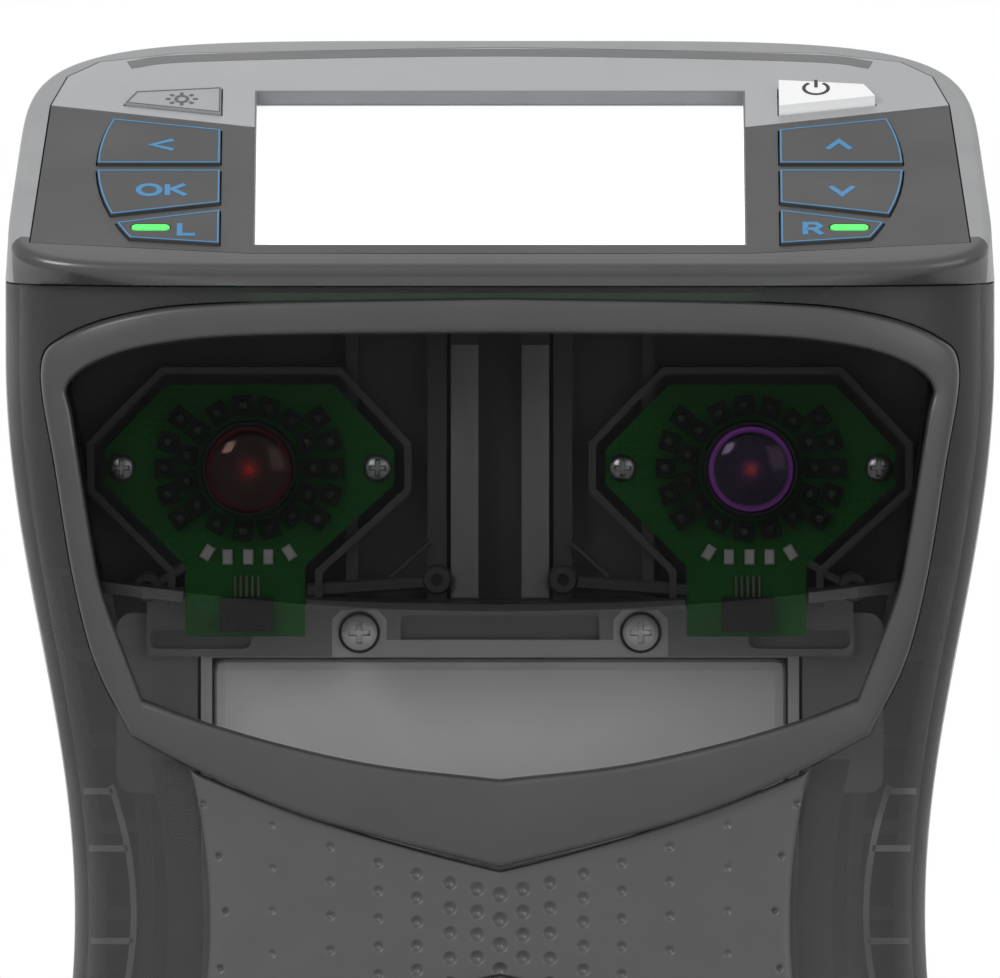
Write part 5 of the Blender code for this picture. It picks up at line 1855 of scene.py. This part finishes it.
@dataclass
class Studio:
    """The pale floor, the white background, soft lamps and the camera."""

    distance: float = 6.0
    elevation: float = math.radians(2)
    aim: tuple[float, float, float] = (0.0, -45 * MM, 239.8 * MM)
    frame_width: float = 179.0 * MM
    sensor: float = 36.0
    clip_end: float = 50.0
    even_light: float = 0.45
    floor_half: float = 1.8
    floor_points: int = 5
    lamps: tuple = (("soft_key", (-0.8, -1.2, 1.0), 0.5, 11), ("soft_fill", (1.0, -1.2, 0.6), 0.9, 5),
                    ("soft_top", (0.0, 0.3, 1.5), 1.0, 1.5))

    def world(self) -> None:
        """A white background for what sees it, and an even grey light for the rest."""
        world = bpy.data.worlds.new("studio")
        bpy.context.scene.world = world
        world.use_nodes = True
        tree = world.node_tree
        back = tree.nodes["Background"]
        path = add_node(tree, "ShaderNodeLightPath")
        seen = path.outputs["Is Camera Ray"]
        for kind in ("Is Glossy Ray", "Is Transmission Ray"):
            most = add_node(tree, "ShaderNodeMath", None, {0: seen, 1: path.outputs[kind]},
                            operation="MAXIMUM")
            seen = most.outputs[0]
        level = add_node(tree, "ShaderNodeMapRange", {"To Min": self.even_light, "To Max": 1.0},
                         {"Value": seen})
        back.inputs["Color"].default_value = (1, 1, 1, 1)
        tree.links.new(level.outputs["Result"], back.inputs["Strength"])

    def lamp(self, name: str, place: tuple[float, float, float], size: float, power: float) -> None:
        """A soft square lamp that points at the part.

        Args:
            name: The lamp's name.
            place: Where it hangs.
            size: Length of its side.
            power: Its power in watts.
        """
        data = bpy.data.lights.new(name, "AREA")
        data.size = size
        data.energy = power
        lamp = bpy.data.objects.new(name, data)
        lamp.location = place
        toward = Vector(self.aim) - Vector(place)
        lamp.rotation_euler = toward.to_track_quat("-Z", "Y").to_euler()
        bpy.context.scene.collection.objects.link(lamp)

    def floor(self) -> None:
        """Lays the floor, which is no piece of the part."""
        across = np.linspace(-self.floor_half, self.floor_half, self.floor_points)
        x, y = np.meshgrid(across, across)
        mesh = Surface.grid(np.stack([x, y, np.zeros_like(x)], axis=-1), wrap_columns=False).mesh("floor")
        floor = bpy.data.objects.new("floor", mesh)
        mesh.materials.append(PALE_FLOOR.material())
        bpy.context.scene.collection.objects.link(floor)

    def camera(self) -> None:
        """Sets the camera far off, with a long lens, for a nearly flat perspective."""
        data = bpy.data.cameras.new("camera")
        data.sensor_width = self.sensor
        data.lens = self.sensor * self.distance / self.frame_width
        data.clip_end = self.clip_end
        camera = bpy.data.objects.new("camera", data)
        back = Vector((0, -math.cos(self.elevation), math.sin(self.elevation)))
        camera.location = Vector(self.aim) + back * self.distance
        camera.rotation_euler = (-back).to_track_quat("-Z", "Y").to_euler()
        bpy.context.scene.collection.objects.link(camera)
        bpy.context.scene.camera = camera

    def build(self) -> None:
        """Sets the world, the lamps, the floor and the camera."""
        self.world()
        for lamp in self.lamps:
            self.lamp(*lamp)
        self.floor()
        self.camera()
        bpy.context.scene.view_settings.view_transform = "Standard"


@dataclass
class BatteryBay:
    """The bracket's two screws, the plates beside the battery and the header over it."""

    casing: Casing
    screw_x: float = 25.3 * MM
    screw_z: float = 213.05 * MM
    screw_face: float = 18.1 * MM
    screw_radius: float = 3.2 * MM
    screw_height: float = 2.0 * MM
    seat_radius: float = 3.75 * MM
    seat_proud: float = 0.25 * MM
    seat_thick: float = 0.2 * MM
    seat_steps: int = 48
    plate_mm: tuple = (54.4, 69.0, 184.0, 216.4)
    plate_face: float = 14.6 * MM
    plate_thick: float = 1.5 * MM
    plate_round: float = 3.0 * MM
    header_mm: tuple = (63.5, 208.7, 219.2, 1.0)
    header_face: float = 17.7 * MM
    header_thick: float = 1.6 * MM
    pockets_mm: tuple = ((0, 212.6, 17.9, 3.5, 1.2), (-53.9, 211.8, 9.2, 1.7, 1.5),
                         (53.9, 211.8, 9.2, 1.7, 1.5))
    cutter_reach: tuple[float, float] = (1.0 * MM, 3.0 * MM)
    floor_inset: tuple[float, float] = (1.0 * MM, 0.4 * MM)
    floor_thick: float = 1.0 * MM

    def screw(self, side: Side) -> None:
        """Makes a screw head, in place of the CAD node, and the dark seat round it.

        Args:
            side: Which screw.
        """
        centre = (side.value * self.screw_x, self.screw_z)
        node = f"{side.word}_bracket_screw"
        head = forward(PanHead(self.screw_radius, self.screw_height).rings(), self.screw_face, centre)
        Surface.grid(head, caps=True).piece(f"{node}_head", SCREW_ZINC, (node,), smooth=35)
        turn = np.linspace(0, TAU, self.seat_steps, endpoint=False)
        seat = np.stack([np.cos(turn), np.sin(turn)], axis=1) * self.seat_radius + centre
        front = -self.screw_face - self.seat_proud
        slab(seat, front, front + self.seat_thick).piece(f"{node}_seat", SEAT_BLACK)

    def build(self) -> None:
        """Makes the screws, the four plates and the headers over the battery."""
        for side in Side:
            self.screw(side)
        low_x, high_x, low_z, high_z = [value * MM for value in self.plate_mm]
        centre = ((low_x + high_x) / 2, (low_z + high_z) / 2)
        outline = rounded_box((high_x - low_x) / 2, (high_z - low_z) / 2, self.plate_round, centre)
        plates = [slab(outline * (side.value, 1), -self.plate_face, self.plate_thick - self.plate_face)
                  .in_bay(bay, self.casing.waist) for side in Side for bay in Bay]
        Surface.merge(plates).piece("battery_bay_plates", PLATE_GREY)
        for bay in Bay:
            self.header(bay)

    def header(self, bay: Bay) -> None:
        """Makes the grey header over the battery, with three pockets and their floor.

        Args:
            bay: Which bay.
        """
        half_x, low_z, high_z, corner = [value * MM for value in self.header_mm]
        half_z, centre = (high_z - low_z) / 2, (0.0, (low_z + high_z) / 2)
        front, back = -self.header_face, self.header_thick - self.header_face
        before, behind = self.cutter_reach
        cuts = [slab(rounded_box(pocket_x, pocket_z, radius, (x, z)), front - before, front + behind)
                for x, z, pocket_x, pocket_z, radius in np.array(self.pockets_mm) * MM]
        plate = trimmed(slab(rounded_box(half_x, half_z, corner, centre), front, back), cuts, Cut.OUTSIDE)
        turn_mesh(plate, bay, self.casing.waist)
        dress(plate, f"{bay.value}_bay_header", PLATE_GREY)
        # The pocket floor's darker grey is painted shade in the pockets
        inner = rounded_box(half_x - self.floor_inset[0], half_z - self.floor_inset[1], corner, centre)
        floor = slab(inner, back + CLEAR, back + CLEAR + self.floor_thick)
        floor.in_bay(bay, self.casing.waist).piece(f"{bay.value}_bay_pocket_floor", POCKET_PAINTED_SHADE)


def dress_inside() -> None:
    """Gives the remaining inner CAD nodes their finishes."""
    finishes = {"battery_pack": BATTERY, "battery_tray": RIB_GREY, "battery_bracket": BRACKET,
                "left_side_frame": FRAME_DARK, "right_side_frame": FRAME_DARK,
                "upper_camera_chassis": CHASSIS, "lower_camera_chassis": CHASSIS}
    for node, finish in finishes.items():
        finish_node(node, finish)


def main() -> None:
    """Builds every sub-assembly in order."""
    logging.basicConfig(level=logging.INFO, format="%(message)s")
    Studio().build()
    casing = Casing()
    housing = TopHousing(casing)
    visor = Visor(casing)
    for bay in Bay:
        visor.build(bay)
    Shells(casing, visor).build()
    DimpledCover(casing).build()
    housing.build()
    KeyPanel(housing).build()
    for bay in Bay:
        for side in Side:
            Camera(casing, bay, side).build()
    front = ChassisFront(casing)
    for bay in Bay:
        front.build(bay)
    front.build_walls()
    BatteryBay(casing).build()
    Base(casing, housing).build()
    dress_inside()


if __name__ == "__main__":
    main()
